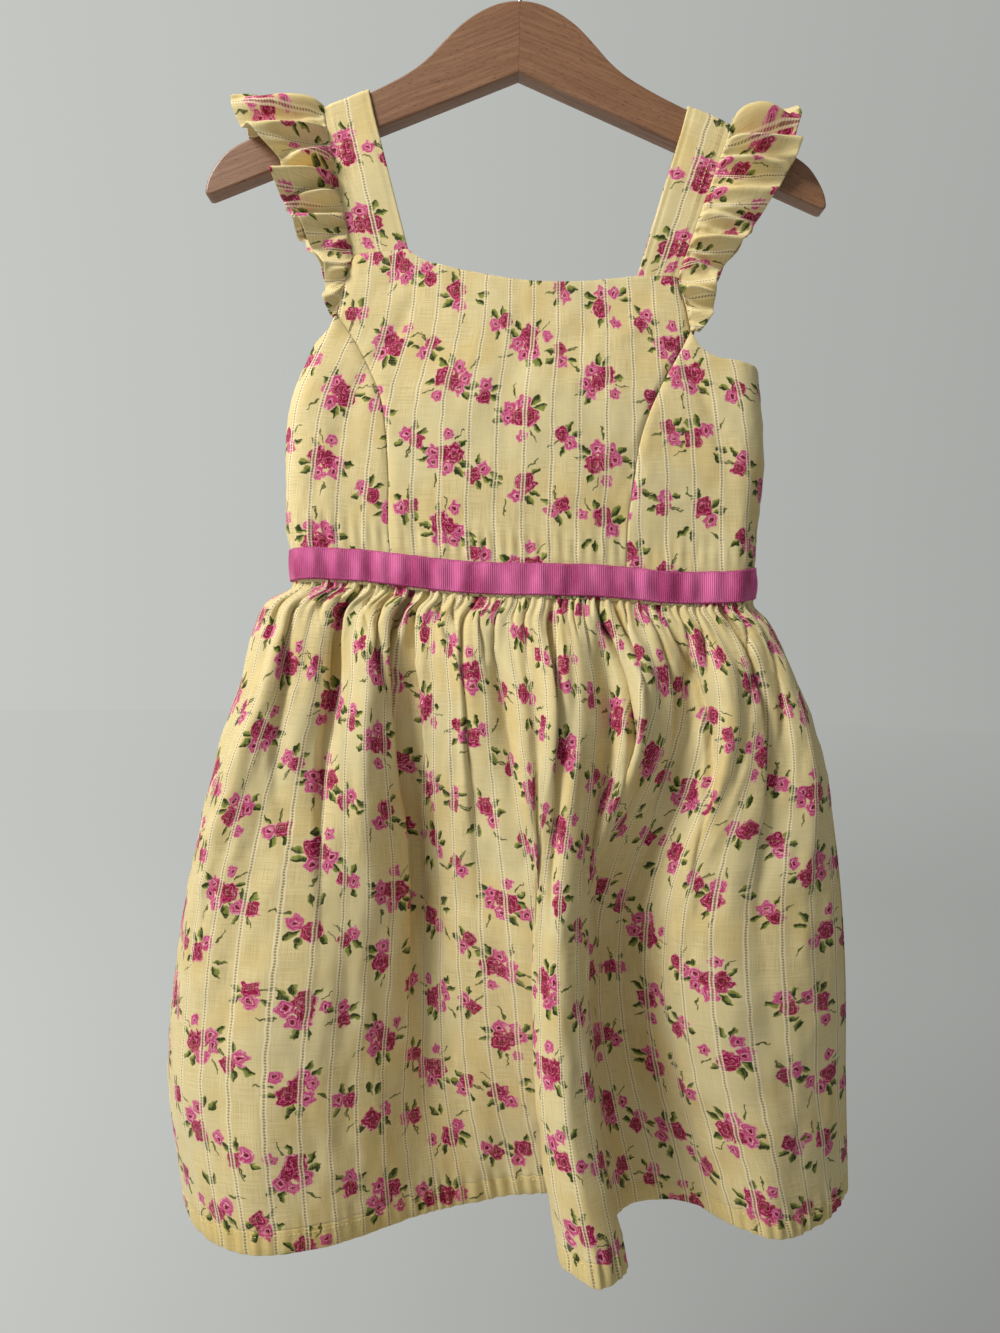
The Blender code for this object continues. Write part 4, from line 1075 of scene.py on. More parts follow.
def make_strap(strap, surface, seed):
    across = np.linspace(0, 1, 25)
    share = np.linspace(0, 1, 220)
    columns = []
    for a in across:
        base = Point(
            strap.base_inner.x + a * (strap.base_outer.x - strap.base_inner.x),
            strap.base_inner.z + a * (strap.base_outer.z - strap.base_inner.z),
        )
        line = strap_line(strap.top_inner + a * (strap.top_outer - strap.top_inner), base)
        columns.append(along(line, share))
    grid = np.stack(columns, 1)
    width = math.dist(strap.base_inner, strap.base_outer)
    length = np.linalg.norm(np.diff(grid[:, 12], axis=0), axis=-1).sum()
    uv = np.stack(np.broadcast_arrays((across[None] - 0.5) * width * 0.88, share[:, None] * length), -1)
    # Rows run up the front and down the back, so the outward side follows which way x runs
    out = -1 if strap.side == "right" else 1
    normal = normals_of(grid, out)
    edge = np.minimum(across, 1 - across)[None] * width
    relief = 0.35 * noise(uv[..., 0] / 9, uv[..., 1] / 14, seed) + 0.35 * ease(edge / 5)
    relief = relief - 0.35 * bell((edge - 2.0) / 0.7)
    grid = grid + relief[..., None] * normal
    sewn = round((1 - STRAP_STITCH / width) * (len(across) - 1))
    seam, seam_out = grid[5:-5, sewn], normal[5:-5, sewn]
    for side in ("left", "right"):
        grid, uv = turned(grid, uv, out, side, 1.0, 4.0)
    add_sheet(grid, uv, out, surface, f"strap_{strap.side}")
    return seam, seam_out


# Ruffles

def ruffle_seam(strap, princess):
    outward = -1 if strap.side == "left" else 1
    over = strap_line(strap.top_outer, strap.base_outer)
    ends = []
    for side in (1, -1):
        armhole = princess[ARMHOLE_POINT:0:-1]
        ends.append([on_body(ring_share(p.x, p.z, side), p.z, side) for p in armhole])
    line = np.array(ends[0] + list(over) + ends[1][::-1])
    line[:, 0] += outward * 0.3
    return line


RUFFLE_POINTS = 640
RUFFLE_ROWS = 34
SEAM_SMOOTHING = 31
RUFFLE_FOLDS = 19
RUFFLE_LEAN = 2.4
RUFFLE_DEEP = 3.6
RUFFLE_PUFF = 4.0


def make_ruffle(strap, princess, waves, surface, seed):
    """A gathered strip along its strap, in leaning folds that open towards its turned free edge."""
    outward = np.array([-1.0 if strap.side == "left" else 1.0, 0.0, 0.0])
    t = np.linspace(0, 1, RUFFLE_POINTS)
    seam = along(ruffle_seam(strap, princess), t)
    tangent = np.gradient(seam, axis=0)
    tangent[:, 0] = 0
    window = np.ones(2 * SEAM_SMOOTHING + 1) / (2 * SEAM_SMOOTHING + 1)
    padded = np.pad(tangent, ((SEAM_SMOOTHING, SEAM_SMOOTHING), (0, 0)), mode="edge")
    smooth = np.stack([np.convolve(axis, window, "valid") for axis in padded.T], -1)
    smooth /= np.linalg.norm(smooth, axis=1, keepdims=True)
    away = np.cross(smooth, outward) * (1 if strap.side == "left" else -1)
    reach, lift = read(waves, "along", "reach", t), read(waves, "along", "lift", t)
    r = np.linspace(0, 1, RUFFLE_ROWS)[:, None]
    uneven = 0.9 * np.sin(13 * t + seed) + 0.6 * np.sin(29 * t + 2 * seed) + 0.35 * np.sin(61 * t)
    phase = 2 * math.pi * RUFFLE_FOLDS * t[None] + uneven + RUFFLE_LEAN * r
    strong = 1 + 0.45 * np.sin(17 * t + seed)[None]
    spread = np.clip(reach / 34, 0.25, 1.0)[None]
    folds = np.cos(phase + 0.75 * np.sin(phase)) * (0.42 * ease(r * 12) + 0.9 * np.sin(math.pi * r**0.7))
    puckers = np.sin(2.6 * phase + 1.1) * ease(r * 14) * (1 - r) ** 2.5
    puff = RUFFLE_PUFF * np.sin(math.pi * np.clip(r**0.6, 0, 1))
    u = np.broadcast_to(t[None] * RUFFLE_CLOTH, (len(r), len(t)))
    v = r * np.maximum(reach, 14)[None]
    soft = 0.7 * noise(u / 9, v / 10, seed) + 0.35 * noise(u / 4, v / 5, seed + 1)
    rise = lift[None] * r**1.2 + spread * (RUFFLE_DEEP * strong * folds + puff)
    rise = rise + 0.8 * puckers + soft * ease(r * 5)
    sway = 1.6 * spread * np.sin(phase + 0.9) * r
    spread_out = reach[None] * r + sway * ease(r * 3) * 0.5
    grid = seam[None] + outward * spread_out[..., None] + away[None] * rise[..., None]
    grid = grid + smooth[None] * sway[..., None]
    uv = np.stack([u, v], -1)
    out = -1 if strap.side == "left" else 1
    grid, uv = turned(grid, uv, out, "bottom", 0.8, 5.0)
    add_sheet(grid, uv, out, surface, f"ruffle_{strap.side}")


# Skirt

FOLD_SHARES = length_shares(np.stack([column(FRONT_FOLDS, "hem_x"), column(FRONT_FOLDS, "hem_out")], -1))


def gather_ripple(share, down, side):
    """Gathers under the waist: uneven in width, depth and length, and sharper on one side."""
    turns = math.pi * share
    wander = 0.55 * np.sin(9 * turns + side) + 0.35 * np.sin(23 * turns + 2 * side) + 0.2 * np.sin(41 * turns)
    phase = 2 * GATHERS * turns + wander
    uneven = 1 + 0.35 * np.sin(11.0 * turns + side) + 0.2 * np.sin(29.0 * turns + side)
    fade = 0.26 * (1 + 0.45 * np.sin(17.0 * turns + 2 * side) + 0.25 * np.sin(37.0 * turns))
    opened = 0.55 + 0.45 * ease(down / 0.03)
    ends = ease(share / 0.03) * ease((1 - share) / 0.03)
    depth = 0.6 * uneven * opened * ends * (1 - ease(down / fade)) ** 1.3
    small = 0.6 * np.sin(2.31 * phase + 1.3) * (1 - ease(down / 0.05))
    return depth * np.cos(phase + 0.45 * np.sin(phase)) + ends * small


def crease_sum(creases, share, down):
    total = np.zeros_like(share)
    for crease in creases:
        length = crease.bottom - crease.top
        place = (down - crease.top) / length
        if 0 < place < 1:
            fades = ease((place - CREASE_HOLD) / (1 - CREASE_HOLD))
            grows = ease(place * length / CREASE_RISE) * (1 - fades)
            total += crease.out * grows * bell((share - crease.share) / crease.width)
    return total


def skirt_span(down):
    return float(read(SKIRT_SPANS, "down", "left", down)), float(read(SKIRT_SPANS, "down", "right", down))


def skirt_front_row(share, down):
    waist_left, waist_right = skirt_span(0)
    waist = on_body(FOLD_SHARES, WAIST_RING_Z, 1)
    mid_left, mid_right = skirt_span(0.5)
    hem_left, hem_right = skirt_span(1)
    left, right = skirt_span(down)
    near_seam = np.sin(math.pi * np.clip(FOLD_SHARES, 0, 1)) ** 0.5
    at_waist = (waist[:, 0] - waist_left) / (waist_right - waist_left)
    at_mid = (column(FRONT_FOLDS, "mid_x") - mid_left) / (mid_right - mid_left)
    at_hem = (column(FRONT_FOLDS, "hem_x") - hem_left) / (hem_right - hem_left)
    waist_out = -waist[:, 1]
    puff_out = waist_out + PUFF * near_seam
    outs = (waist_out, puff_out, column(FRONT_FOLDS, "mid_out"), column(FRONT_FOLDS, "hem_out"))
    place = [curve_through(LEVELS_DOWN, (a, a, m, h), down) for a, m, h in zip(at_waist, at_mid, at_hem)]
    out = [curve_through(LEVELS_DOWN, values, down) for values in zip(*outs)]
    x = left + (right - left) * curve_through(FOLD_SHARES, place, share)
    inner = ease(share / CREASE_ENDS) * ease((1 - share) / CREASE_ENDS)
    out = curve_through(FOLD_SHARES, out, share)
    out = out + gather_ripple(share, down, 1) + inner * crease_sum(FRONT_CREASES, share, down)
    top = waist_z(share, 1) - 0.15
    foot = HEM_Z + curve_through(FOLD_SHARES, column(FRONT_FOLDS, "hem_lift"), share)
    return np.stack([x, -out, top + (foot - top) * down], -1)


def skirt_back_row(share, down):
    waist = on_body(share, WAIST_RING_Z, -1)
    left, right = skirt_span(down)
    waist_left, waist_right = skirt_span(0)
    at_waist = (waist[:, 0] - waist_left) / (waist_right - waist_left)
    seam = float(curve_through(LEVELS_DOWN, BACK_SEAM_OUT, down))
    to_end = np.minimum(share, 1 - share) / BACK_END
    turn = np.sqrt(np.clip(1 - np.square(1 - np.clip(to_end, 0, 1)), 0, 1))
    outs = [(-y, -y - PUFF, BACK_MID_OUT, BACK_HEM_OUT) for y in waist[:, 1]]
    flat = np.array([curve_through(LEVELS_DOWN, values, down) for values in outs])
    settled = ease(down / 0.06)
    out = (1 - settled) * flat + settled * (seam + (flat - seam) * turn)
    out = out + turn * (gather_ripple(share, down, -1) + crease_sum(BACK_CREASES, share, down))
    x = left + (right - left) * (at_waist + (share - at_waist) * settled)
    top = waist_z(share, -1) - 0.15
    foot = HEM_Z + BACK_HEM_LIFT
    return np.stack([x, -out, top + (foot - top) * down], -1)


# Gathers under the ribbon: x at the waist, x where each runs out and how far down that is,
# depth, and width on either side of its line
Gather = namedtuple("Gather", "top_x low_x low deep before after")
GATHER_DEEP = 1.1
FRONT_GATHERS = table_of(
    Gather, (-116.0, -136, 0.16, 2.2, 2.0, 4.0), (-108.0, -124, 0.36, 4.2, 2.6, 6.5),
    (-99.0, -103, 0.07, 2.0, 1.2, 2.0), (-92.0, -94, 0.06, 2.2, 1.2, 2.2),
    (-83.5, -100, 0.46, 8.5, 1.6, 7.0), (-75.0, -77, 0.07, 2.0, 1.2, 1.8),
    (-66.0, -64, 0.17, 5.0, 1.2, 5.0), (-60.5, -59, 0.06, 1.8, 1.0, 1.6),
    (-54.0, -50, 0.62, 11.0, 1.8, 9.5), (-44.0, -37, 0.46, 7.0, 7.0, 1.4),
    (-37.0, -33, 0.07, 2.4, 1.2, 1.8), (-30.0, -27, 0.06, 2.0, 1.2, 1.8), (-19.0, -15, 0.40, 6.0, 1.4, 6.0),
    (-11.5, -12, 0.10, 3.0, 1.0, 2.2), (-3.0, -5, 0.12, 3.2, 1.2, 2.6), (5.5, 5, 0.06, 2.4, 1.0, 1.8),
    (13.0, 11, 0.09, 2.8, 1.0, 2.2), (23.5, 27, 0.42, 7.0, 1.4, 6.5), (30.5, 28, 0.08, 3.4, 1.2, 2.0),
    (38.0, 39, 0.06, 2.0, 1.0, 1.8), (44.5, 46, 0.08, 2.4, 1.0, 1.8), (50.5, 56, 0.52, 9.0, 1.6, 4.6),
    (59.5, 74, 0.30, 6.0, 1.4, 5.0), (66.0, 69, 0.06, 2.2, 1.0, 1.8), (77.5, 88, 0.34, 5.0, 1.6, 5.0),
    (84.5, 110, 0.42, 4.6, 1.4, 6.0), (97.0, 102, 0.14, 2.8, 1.2, 3.0), (107.0, 112, 0.10, 2.6, 1.2, 2.4),
    (120.5, 146, 0.44, 6.5, 1.4, 6.0), (129.0, 138, 0.14, 3.0, 1.2, 2.6), (136.0, 156, 0.24, 3.0, 1.4, 4.0),
)
BACK_GATHERS = table_of(
    Gather, (-112.0, -132, 0.30, 4.0, 5.0, 1.8), (-96.0, -104, 0.12, 3.0, 2.4, 1.2),
    (-84.0, -98, 0.50, 7.0, 6.0, 1.8), (-68.0, -72, 0.16, 3.4, 1.2, 3.0), (-55.0, -66, 0.38, 5.6, 1.8, 6.0),
    (-40.0, -42, 0.10, 2.6, 1.2, 2.2), (-27.0, -34, 0.46, 7.5, 6.5, 1.8), (-12.0, -12, 0.14, 3.4, 2.6, 1.2),
    (2.0, 0, 0.36, 5.0, 1.6, 5.6), (16.0, 18, 0.10, 2.8, 1.2, 2.0), (29.0, 35, 0.48, 7.0, 1.8, 6.5),
    (44.0, 48, 0.16, 3.2, 2.8, 1.2), (57.0, 68, 0.36, 5.6, 6.0, 1.6), (73.0, 78, 0.10, 2.8, 1.2, 2.2),
    (86.0, 102, 0.50, 7.5, 1.8, 7.0), (102.0, 112, 0.16, 3.4, 1.2, 3.0), (116.0, 138, 0.34, 5.0, 5.0, 1.8),
    (130.0, 150, 0.18, 3.0, 1.4, 3.0),
)


def placed_gathers(table, grid, share, down):
    """Depth of the placed gathers over the skirt, each deepest a little below the waist."""
    total = np.zeros(grid.shape[:2])
    for g in table:
        low_row = int(np.searchsorted(down, g.low))
        first = np.interp(g.top_x, grid[0, :, 0], share)
        last = np.interp(g.low_x, grid[low_row, :, 0], share)
        way = np.clip(down / g.low, 0, 1.4)[:, None]
        off = (share[None] - (first + (last - first) * way)) * SKIRT_WIDTH
        off = off + 1.2 * np.sin(way * 5 + g.top_x)
        wide = np.where(off < 0, g.before, g.after) * (0.75 + 0.7 * way)
        grows = 0.55 + 0.45 * ease(down[:, None] / 0.03)
        total -= g.deep * GATHER_DEEP * grows * (1 - ease((way - 0.25) / 1.15)) * bell(off / wide)
    return total


# Small folds in the skirt, by cloth width from its left seam and length from the waist
FRONT_SKIRT_DENTS = table_of(
    Dent, (52, 120, 150, 5.0, 4, 1.6), (84, 190, 190, 7.0, -3, -1.8), (118, 110, 120, 4.5, 6, 1.4),
    (140, 250, 150, 8.0, 5, -1.6), (176, 150, 140, 5.0, -6, 1.7), (205, 230, 160, 6.0, 3, 1.5),
    (232, 90, 110, 4.0, -5, -1.8), (262, 170, 170, 6.0, 2, 1.6), (286, 290, 110, 7.0, -8, 1.3),
    (312, 130, 150, 5.0, 4, -1.7), (352, 100, 120, 5.0, -4, 1.6), (388, 210, 150, 5.5, 6, 1.5),
    (416, 120, 130, 5.0, 5, -1.8), (438, 240, 170, 8.0, -12, 1.7), (470, 140, 150, 5.0, -14, -1.9),
    (496, 230, 170, 7.0, 6, 1.6), (520, 110, 110, 4.5, -6, 1.6), (548, 200, 170, 6.0, 4, -1.6),
    (572, 130, 130, 5.0, -4, 1.3), (40, 270, 120, 8.0, 8, -1.2), (100, 310, 90, 9.0, -6, 1.2),
    (180, 318, 90, 8.0, 8, -1.1), (470, 305, 110, 9.0, 6, -1.2), (545, 312, 90, 8.0, -6, 1.2),
)
BACK_SKIRT_DENTS = tuple(
    Dent(
        u=40 + 40 * k, v=110 + 60 * (k * 7 % 3), length=150 + 20 * (k % 3), width=5.0 + k % 4,
        angle=6 * (-1) ** k, depth=1.5 * (-1) ** (k // 2),
    )
    for k in range(14)
)
SKIRT_COLUMNS = 481
GATHERED_PART = 0.11
GATHERED_ROWS = 24
OPEN_ROWS = 71
HEM_PUCKERS = 84
HEM_PUCKER_DEEP = 1.15
SKIRT_CRUMPLE = 1.45
CREASED = 0.55
CREASED_FULLY = 140
SIDE_SEAM_CLOSE = 0.12
SIDE_SEAM_SINK = 0.5


def make_skirt(node, row_of, side, surface, table, gathers, seed):
    """One half of the skirt; gives the line of its hem's stitches and the way out of the cloth there."""
    share = np.linspace(0.0004, 0.9996, SKIRT_COLUMNS)
    down = np.concatenate([
        np.linspace(0, GATHERED_PART, GATHERED_ROWS), np.linspace(GATHERED_PART, 1, OPEN_ROWS + 1)[1:]
    ])
    grid = np.array([row_of(share, d) for d in down])
    ends = ease(share / 0.04) * ease((1 - share) / 0.04)
    grid = grid + (placed_gathers(gathers, grid, share, down) * ends)[..., None] * normals_of(grid, side)
    u, v = np.meshgrid(share * SKIRT_WIDTH, down * SKIRT_LENGTH)
    hem = SKIRT_LENGTH - HEM_DEPTH
    relief = dents(u, v, table) + crumple(u, v, seed, SKIRT_CRUMPLE)
    creased = 0.55 - np.abs(noise((u + 0.25 * v) / 12, (v - 0.3 * u) / 27, seed + 12))
    creased += 0.8 * (0.55 - np.abs(noise((u - 0.45 * v) / 15, (v + 0.2 * u) / 19, seed + 14)))
    relief += CREASED * creased * ease(v / CREASED_FULLY)
    strong = 0.6 + 0.6 * noise(u / 40, v * 0, seed + 7)
    slip = 1.5 * noise(u / 23, v * 0, seed + 8) + 0.5 * noise(u / 9, v * 0, seed + 9)
    puckers = np.cos(2 * math.pi * HEM_PUCKERS * u / SKIRT_WIDTH + 2 * slip)
    relief += HEM_PUCKER_DEEP * strong * puckers * bell((v - hem - 5) / 8)
    relief *= ease(v / 12)
    cols = np.arange(len(share))
    near = np.minimum(cols, cols[::-1])[None]
    grid = grid + (relief * ease(near / 4) - 0.8 * bell(near / 1.2))[..., None] * normals_of(grid, side)
    # Both halves end on one sunk seam line
    seams = np.array([row_of(np.array([0.0, 1.0]), d) for d in down])
    seams[:, 0, 0] += SIDE_SEAM_SINK
    seams[:, 1, 0] -= SIDE_SEAM_SINK
    seams[:, :, 1] += side * SIDE_SEAM_CLOSE
    grid[:, (0, -1)] = seams
    uv = np.stack([u if side > 0 else 2 * SKIRT_WIDTH - u, v], -1)
    top = grid[:1] + [0.0, side * 1.5, 3.0]
    grid, uv = np.concatenate([top, grid]), np.concatenate([uv[:1] - [0, 3], uv])
    stitch_row = int(np.searchsorted(down, 1 - (HEM_DEPTH - 0.8) / SKIRT_LENGTH)) + 1
    stitch_line, stitch_out = grid[stitch_row], normals_of(grid, side)[stitch_row]
    grid, uv = turned(grid, uv, side, "bottom", 1.0, HEM_DEPTH)
    add_sheet(grid, uv, side, surface, node)
    return stitch_line[4:-4], stitch_out[4:-4]


# Ribbon

def ribbon_loop(z_up):
    """The ribbon's line round the waist, some way up from its lower edge, with its outward side."""
    even = np.linspace(0, 1, 241)
    shares = even - 0.8 * np.sin(2 * math.pi * even) / (2 * math.pi)
    front = on_body(shares, waist_z(shares, 1) + RIBBON_LIFT + z_up, 1)
    back = on_body(shares, waist_z(shares, -1) + RIBBON_LIFT + z_up, -1)[::-1]
    line = np.concatenate([front, back[1:]])
    step = np.gradient(line, axis=0)
    step[0] = step[-1] = line[1] - line[-2]
    step[:, 2] = 0
    out = np.cross(step, [0.0, 0.0, 1.0])
    out /= np.linalg.norm(out, axis=1, keepdims=True)
    return line, out


BUCKLE_PITCH = 12.6
RIBBON_WALL = 0.5
RIBBON_SEED = 71


def make_ribbon(surface):
    """The ribbon, buckled between its two sewn edges; gives the lines of its stitches."""
    loops = []
    heights = np.linspace(RIBBON_DEPTH, 0, 19)
    _, out = ribbon_loop(0)
    u = None
    for z_up in heights:
        line, _ = ribbon_loop(z_up)
        if u is None:
            u = lengths_along(line)
        middle = math.sin(math.pi * z_up / RIBBON_DEPTH)
        wander = 2.2 * noise(u / 31, np.full_like(u, z_up / 60), RIBBON_SEED)
        strong = 0.85 + 0.45 * noise(u / 37, u * 0, RIBBON_SEED + 3)
        buckle = strong * np.sin(2 * math.pi * u / BUCKLE_PITCH + wander + z_up / 18)
        buckle += 0.55 * noise(u / 5.0, np.full_like(u, 3.0 + z_up / 30), RIBBON_SEED + 1)
        lift = RIBBON_OUT - 0.25 + buckle * (0.2 + 0.8 * middle**0.7) + 0.8 * middle
        sway = 0.35 * noise(u / 14, u * 0, RIBBON_SEED + 2)
        loops.append(line + out * lift[:, None] + np.array([0, 0, 1.0]) * sway[:, None])
    grid = np.array(loops)
    uv = np.stack(np.broadcast_arrays(u[None], RIBBON_DEPTH - heights[:, None]), -1)
    add_sheet(grid, uv, 1, surface, "waist_ribbon", RIBBON_WALL)
    return [(grid[row], out) for row in (1, -2)]


# Stitches

def at_length(points, lengths, s):
    return np.array([np.interp(s, lengths, axis) for axis in points.T])


STITCH_PITCH = 2.7
STITCH_LENGTH = 1.9
STITCH_RADIUS = 0.2
STITCH_ABOVE = 0.28
SPINDLE = ((0.0, 0.35), (0.2, 0.9), (0.5, 1.0), (0.8, 0.9), (1.0, 0.35))


def stitch_mesh(name, rows):
    """Small spindles in a row along each line, lying on the cloth."""
    points, faces = [], []
    for line, out in rows:
        lengths = lengths_along(line)
        for start in np.arange(1.0, lengths[-1] - 2, STITCH_PITCH):
            ends = [at_length(line, lengths, s) for s in (start, start + STITCH_LENGTH)]
            normal = at_length(out, lengths, start)
            axis = ends[1] - ends[0]
            size = np.linalg.norm(axis)
            if size < 0.4 * STITCH_LENGTH:
                continue
            axis /= size
            wide = np.cross(axis, normal)
            wide /= max(np.linalg.norm(wide), 1e-9)
            first = len(points)
            for place, swell in SPINDLE:
                above = STITCH_ABOVE * (1 - (2 * place - 1) ** 2) + 0.05
                centre = ends[0] + axis * size * place + normal * above
                for k in range(6):
                    a = math.pi * k / 3
                    around = math.cos(a) * wide + math.sin(a) * normal
                    points.append(centre + swell * STITCH_RADIUS * around)
            for ring in range(4):
                for k in range(6):
                    a, b = first + 6 * ring + k, first + 6 * ring + (k + 1) % 6
                    faces.append((a, b, b + 6, a + 6))
            faces.append(tuple(range(first + 5, first - 1, -1)))
            faces.append(tuple(range(first + 24, first + 30)))
    mesh = bpy.data.meshes.new(name)
    mesh.from_pydata([tuple(p * MM) for p in points], [], faces)
    mesh.shade_smooth()
    return mesh


# Hanger and hook

CURVE_ROUNDING = 4


def curve_mesh(name, points, closed, **settings):
    """The smooth mesh of a curve through points in metres."""
    data = bpy.data.curves.new(name, "CURVE")
    for key, value in settings.items():
        setattr(data, key, value)
    data.bevel_resolution = CURVE_ROUNDING
    spline = data.splines.new("POLY")
    spline.points.add(len(points) - 1)
    for point, place in zip(spline.points, points):
        point.co = (*place, 1)
    spline.use_cyclic_u = closed
    guide = new_object(name, data)
    bpy.context.view_layer.update()
    graph = bpy.context.evaluated_depsgraph_get()
    mesh = bpy.data.meshes.new_from_object(guide.evaluated_get(graph))
    bpy.data.objects.remove(guide)
    mesh.materials.clear()
    mesh.shade_smooth()
    return mesh


TIP_ROUND = 6.0
BOARD_ROUND = 1.3


def make_hanger(surface):
    """The board's outline, smoothly rounded, with soft edges and a crisp notch under the hook."""
    half = [(p.x, p.z) for p in HANGER_UPPER]
    corner, before, after = np.array(half[-1]), np.array(half[-2]), np.array((0.0, HANGER_NOTCH_Z))
    start = corner + (before - corner) / np.linalg.norm(before - corner) * TIP_ROUND
    end = corner + (after - corner) / np.linalg.norm(after - corner) * TIP_ROUND
    bends = [(1 - s) ** 2 * start + 2 * s * (1 - s) * corner + s * s * end for s in np.linspace(0, 1, 7)]
    half = half[:-1] + [tuple(p) for p in bends]
    whole = [(-x, z) for x, z in half[:0:-1]] + half
    upper = rounded(whole, 6)
    outline = [tuple(p) for p in upper] + [(0.0, HANGER_NOTCH_Z)]
    mesh = curve_mesh(
        "board outline", [(x * MM, z * MM, 0) for x, z in outline], True, dimensions="2D", fill_mode="BOTH",
        extrude=(HANGER_THICK / 2 - BOARD_ROUND) * MM, bevel_depth=BOARD_ROUND * MM, offset=-BOARD_ROUND * MM,
    )
    for vertex in mesh.vertices:
        x, z, y = vertex.co
        vertex.co = (x, -y, z)
    mesh.set_sharp_from_angle(angle=math.radians(30))
    add_piece("hanger_board", mesh, surface, "hanger")


def make_hook(surface):
    radius = HOOK_INNER_RADIUS + WIRE / 2
    centre_z = -HOOK_INNER_RADIUS
    foot = HANGER_PEAK_Z - BORE_DEPTH / 2
    stem = [(0.0, z) for z in (foot, HANGER_PEAK_Z, centre_z - radius - HOOK_NECK)]
    angles = np.radians(np.linspace(HOOK_START_ANGLE, 180 + HOOK_OPEN_ANGLE, 90))
    ring = [(radius * math.cos(a), centre_z + radius * math.sin(a)) for a in angles]
    line = rounded(stem, 4).tolist() + ring
    mesh = curve_mesh(
        "hook wire", [(x * MM, 0, z * MM) for x, z in line], False,
        dimensions="3D", bevel_depth=WIRE / 2 * MM, use_fill_caps=True,
    )
    add_piece("hook_wire", mesh, surface, "hook")


# Stage, light and camera, in metres

FLOOR_RADIUS = 14.0
FLOOR_CORNERS = 96
FLOOR_LEVEL = -1.15
ROOM = tone(252, 255, 250)
ROOM_BEHIND = 0.49
ROOM_FRONT = 0.24
ROOM_SLOPE = 0.40
FLOOR_PALE = 0.12
# The floor glows as well as its pale paint: painted light, brighter to the left and dimmer to the right, and
# dimmer beneath the dress than out towards the horizon
FLOOR_GLOW = 0.445
FLOOR_SLOPE = 0.37
FLOOR_FALL = 0.32
FLOOR_FALL_RIGHT = 0.5
LIGHT_TARGET = (0.0, 0.0, -0.45)
CAMERA_PLACE = (-0.0030, -0.5836, -0.4453)
CAMERA_ROLL = -1.285
CAMERA_LENS = 27.03
CAMERA_SENSOR = 36.0


def grey(share):
    return (share, share, share, 1.0)


def make_stage():
    mesh = bpy.data.meshes.new("floor")
    turns = np.linspace(0, 2 * math.pi, FLOOR_CORNERS, False)
    ring = [(FLOOR_RADIUS * math.cos(a), FLOOR_RADIUS * math.sin(a), FLOOR_LEVEL) for a in turns]
    mesh.from_pydata(ring, [], [tuple(range(FLOOR_CORNERS))])
    floor = new_object("floor", mesh)
    made, tree, shader = new_material("floor paint and painted glow", ROOM)
    place = place_from(tree)
    colour = mix(place.clouds(3.0, 4.0), grey(FLOOR_PALE * 0.98), grey(FLOOR_PALE * 1.02))
    set_shader(tree, shader, colour, {"Roughness": 1.0, "Specular IOR Level": 0.0, "Emission Color": ROOM})
    # Painted light: the floor's glow, brighter to the left, dimmer to the right and nearer below
    x, _, z = place.vector("NORMALIZE").parts()
    nearer = z * (x * FLOOR_FALL_RIGHT + FLOOR_FALL) + 1.0
    glow = (x * -FLOOR_SLOPE + 1.0) * nearer * FLOOR_GLOW
    tree.links.new(glow.socket, shader.inputs["Emission Strength"])
    floor.data.materials.append(made)


def add_area(name, place, size, power, colour):
    data = bpy.data.lights.new(name, "AREA")
    data.shape = "DISK"
    data.size = size
    data.energy = power
    data.color = colour
    obj = new_object(name, data)
    obj.location = place
    away = np.array(LIGHT_TARGET) - np.array(place)
    obj.rotation_euler = Vector(away).to_track_quat("-Z", "Y").to_euler()


def make_light():
    world = bpy.data.worlds.new("studio")
    world.use_nodes = True
    tree = world.node_tree
    ground = tree.nodes["Background"]
    ground.inputs["Color"].default_value = ROOM
    x, y, _ = place_from(tree, "Generated").parts()
    strength = (y.step(-0.6, 0.5) * (ROOM_BEHIND - ROOM_FRONT) + ROOM_FRONT) * (x * -ROOM_SLOPE + 1.0)
    tree.links.new(strength.socket, ground.inputs["Strength"])
    bpy.context.scene.world = world
    add_area("window", (-1.15, -0.85, 0.82), size=0.6, power=38.0, colour=(1.0, 0.985, 0.955))
    add_area("behind", (0.6, 1.9, 0.6), size=1.6, power=12.0, colour=(1.0, 0.99, 0.97))


def make_camera():
    data = bpy.data.cameras.new("camera")
    data.sensor_width = CAMERA_SENSOR
    data.lens = CAMERA_LENS
    data.clip_start = 0.02
    cam = new_object("camera", data)
    cam.location = CAMERA_PLACE
    cam.rotation_euler = (math.radians(90), math.radians(CAMERA_ROLL), 0)
    bpy.context.scene.camera = cam


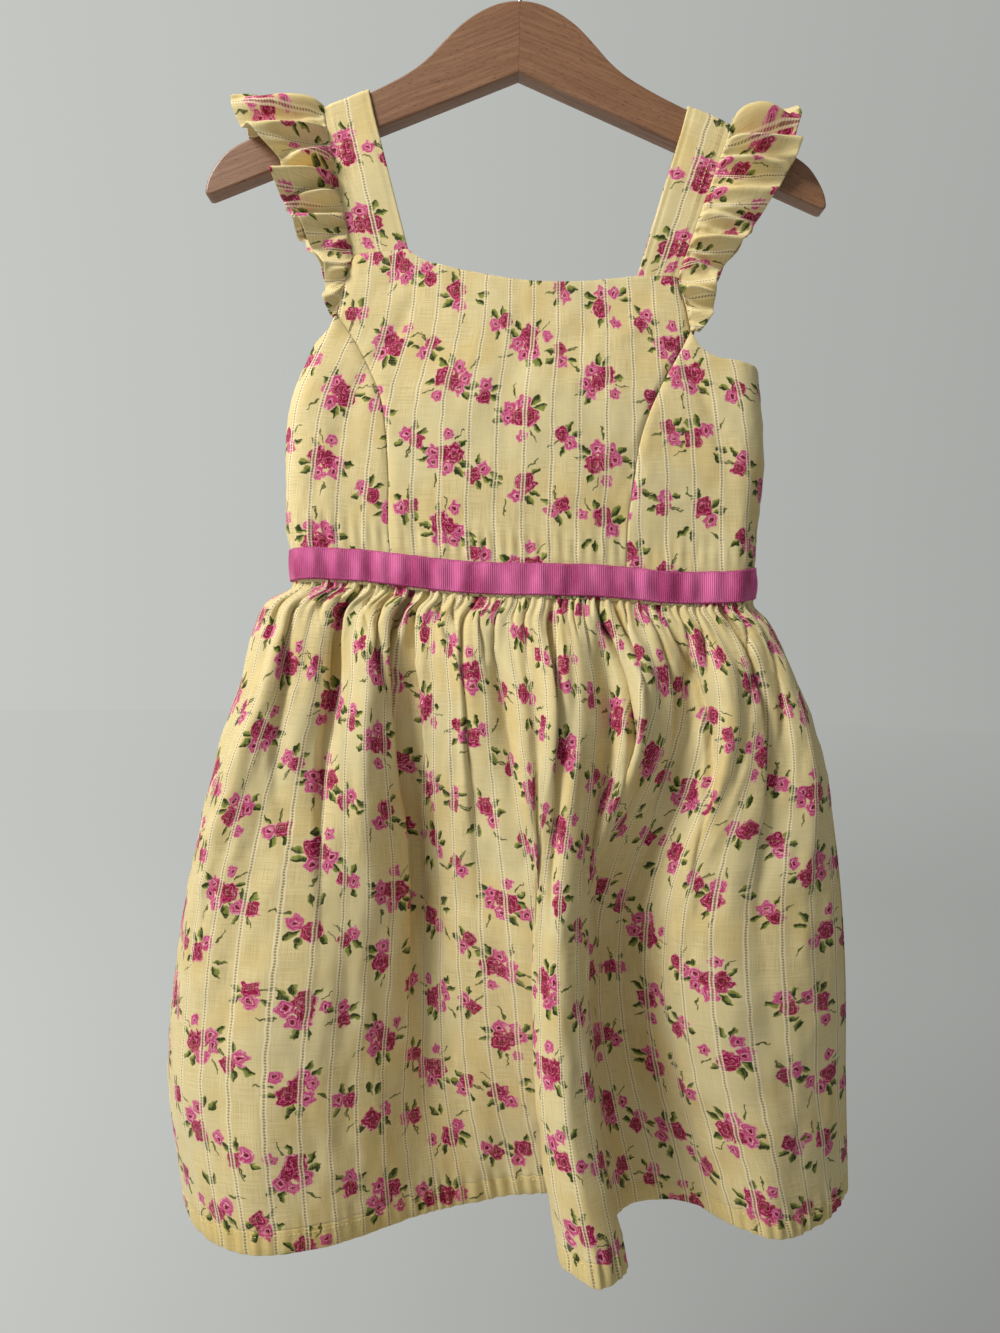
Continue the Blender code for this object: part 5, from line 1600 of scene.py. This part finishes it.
Cut = namedtuple("Cut", "node width length area held rests_on with_pieces")
CUTS = table_of(
    Cut,
    ("bodice_front_centre", 0.215, 0.205, 0.030, "hung", ("strap_left", "strap_right"), ()),
    ("bodice_side_front_left", 0.075, 0.165, 0.0085, "hung", ("bodice_front_centre",), ()),
    ("bodice_side_front_right", 0.095, 0.165, 0.0110, "hung", ("bodice_front_centre",), ()),
    ("bodice_back_left", 0.150, 0.205, 0.0235, "hung", ("strap_left",), ()),
    ("bodice_back_right", 0.155, 0.195, 0.0240, "hung", ("strap_right",), ()),
    ("strap_left", 0.042, 0.205, None, "hung", ("hanger_board",), ("strap_stitches",)),
    ("strap_right", 0.034, 0.215, None, "hung", ("hanger_board",), ()),
    ("ruffle_left", 0.460, 0.056, 0.0155, "gathered", ("strap_left",), ()),
    ("ruffle_right", 0.460, 0.048, 0.0147, "gathered", ("strap_right",), ()),
    ("waist_ribbon", 0.570, 0.019, None, "stretched", ("bodice_front_centre",), ("ribbon_stitches",)),
    ("skirt_front", 0.600, 0.380, None, "gathered", ("waist_ribbon",), ("hem_stitches",)),
    ("skirt_back", 0.560, 0.372, None, "gathered", ("waist_ribbon",), ()),
)


def main():
    make_camera()
    make_light()
    make_stage()
    bpy.context.scene.view_settings.view_transform = "Standard"
    centre = cotton_material("cotton centre", 0.0, (12.0, 8.0))
    left = cotton_material("cotton left", 0.35, (31.0, 25.0))
    right = cotton_material("cotton right", 0.1, (5.0, 37.0))
    strap_cloth = cotton_material("cotton strap", 0.5, (17.0, 3.0))
    ruffle_cloth = cotton_material("cotton ruffle", 0.2, (40.0, 11.0))
    skirt_cloth = cotton_material("cotton skirt", 0.0, (0.0, 0.0), SKIRT_LENGTH - HEM_DEPTH)
    pale_thread = thread_material("thread pale", tone(248, 232, 180), tone(226, 204, 140))
    pink_thread = thread_material("thread pink", tone(226, 112, 166), tone(190, 70, 126))

    make_bodice((centre, left, right))
    strap_rows = []
    for strap, princess, waves, seed in (
        (STRAPS[0], PRINCESS_LEFT, RUFFLE_LEFT, 81),
        (STRAPS[1], PRINCESS_RIGHT, RUFFLE_RIGHT, 91),
    ):
        strap_rows.append(make_strap(strap, strap_cloth, seed))
        make_ruffle(strap, princess, waves, ruffle_cloth, seed + 3)
    ribbon_rows = make_ribbon(ribbon_material())
    hem_rows = [
        make_skirt("skirt_front", skirt_front_row, 1, skirt_cloth, FRONT_SKIRT_DENTS, FRONT_GATHERS, 101),
        make_skirt("skirt_back", skirt_back_row, -1, skirt_cloth, BACK_SKIRT_DENTS, BACK_GATHERS, 111),
    ]
    add_piece("strap_stitches", stitch_mesh("strap_stitches", strap_rows), pale_thread)
    add_piece("hem_stitches", stitch_mesh("hem_stitches", hem_rows), pale_thread)
    add_piece("ribbon_stitches", stitch_mesh("ribbon_stitches", ribbon_rows), pink_thread)
    make_hanger(beech_material())
    make_hook(steel_material())


main()
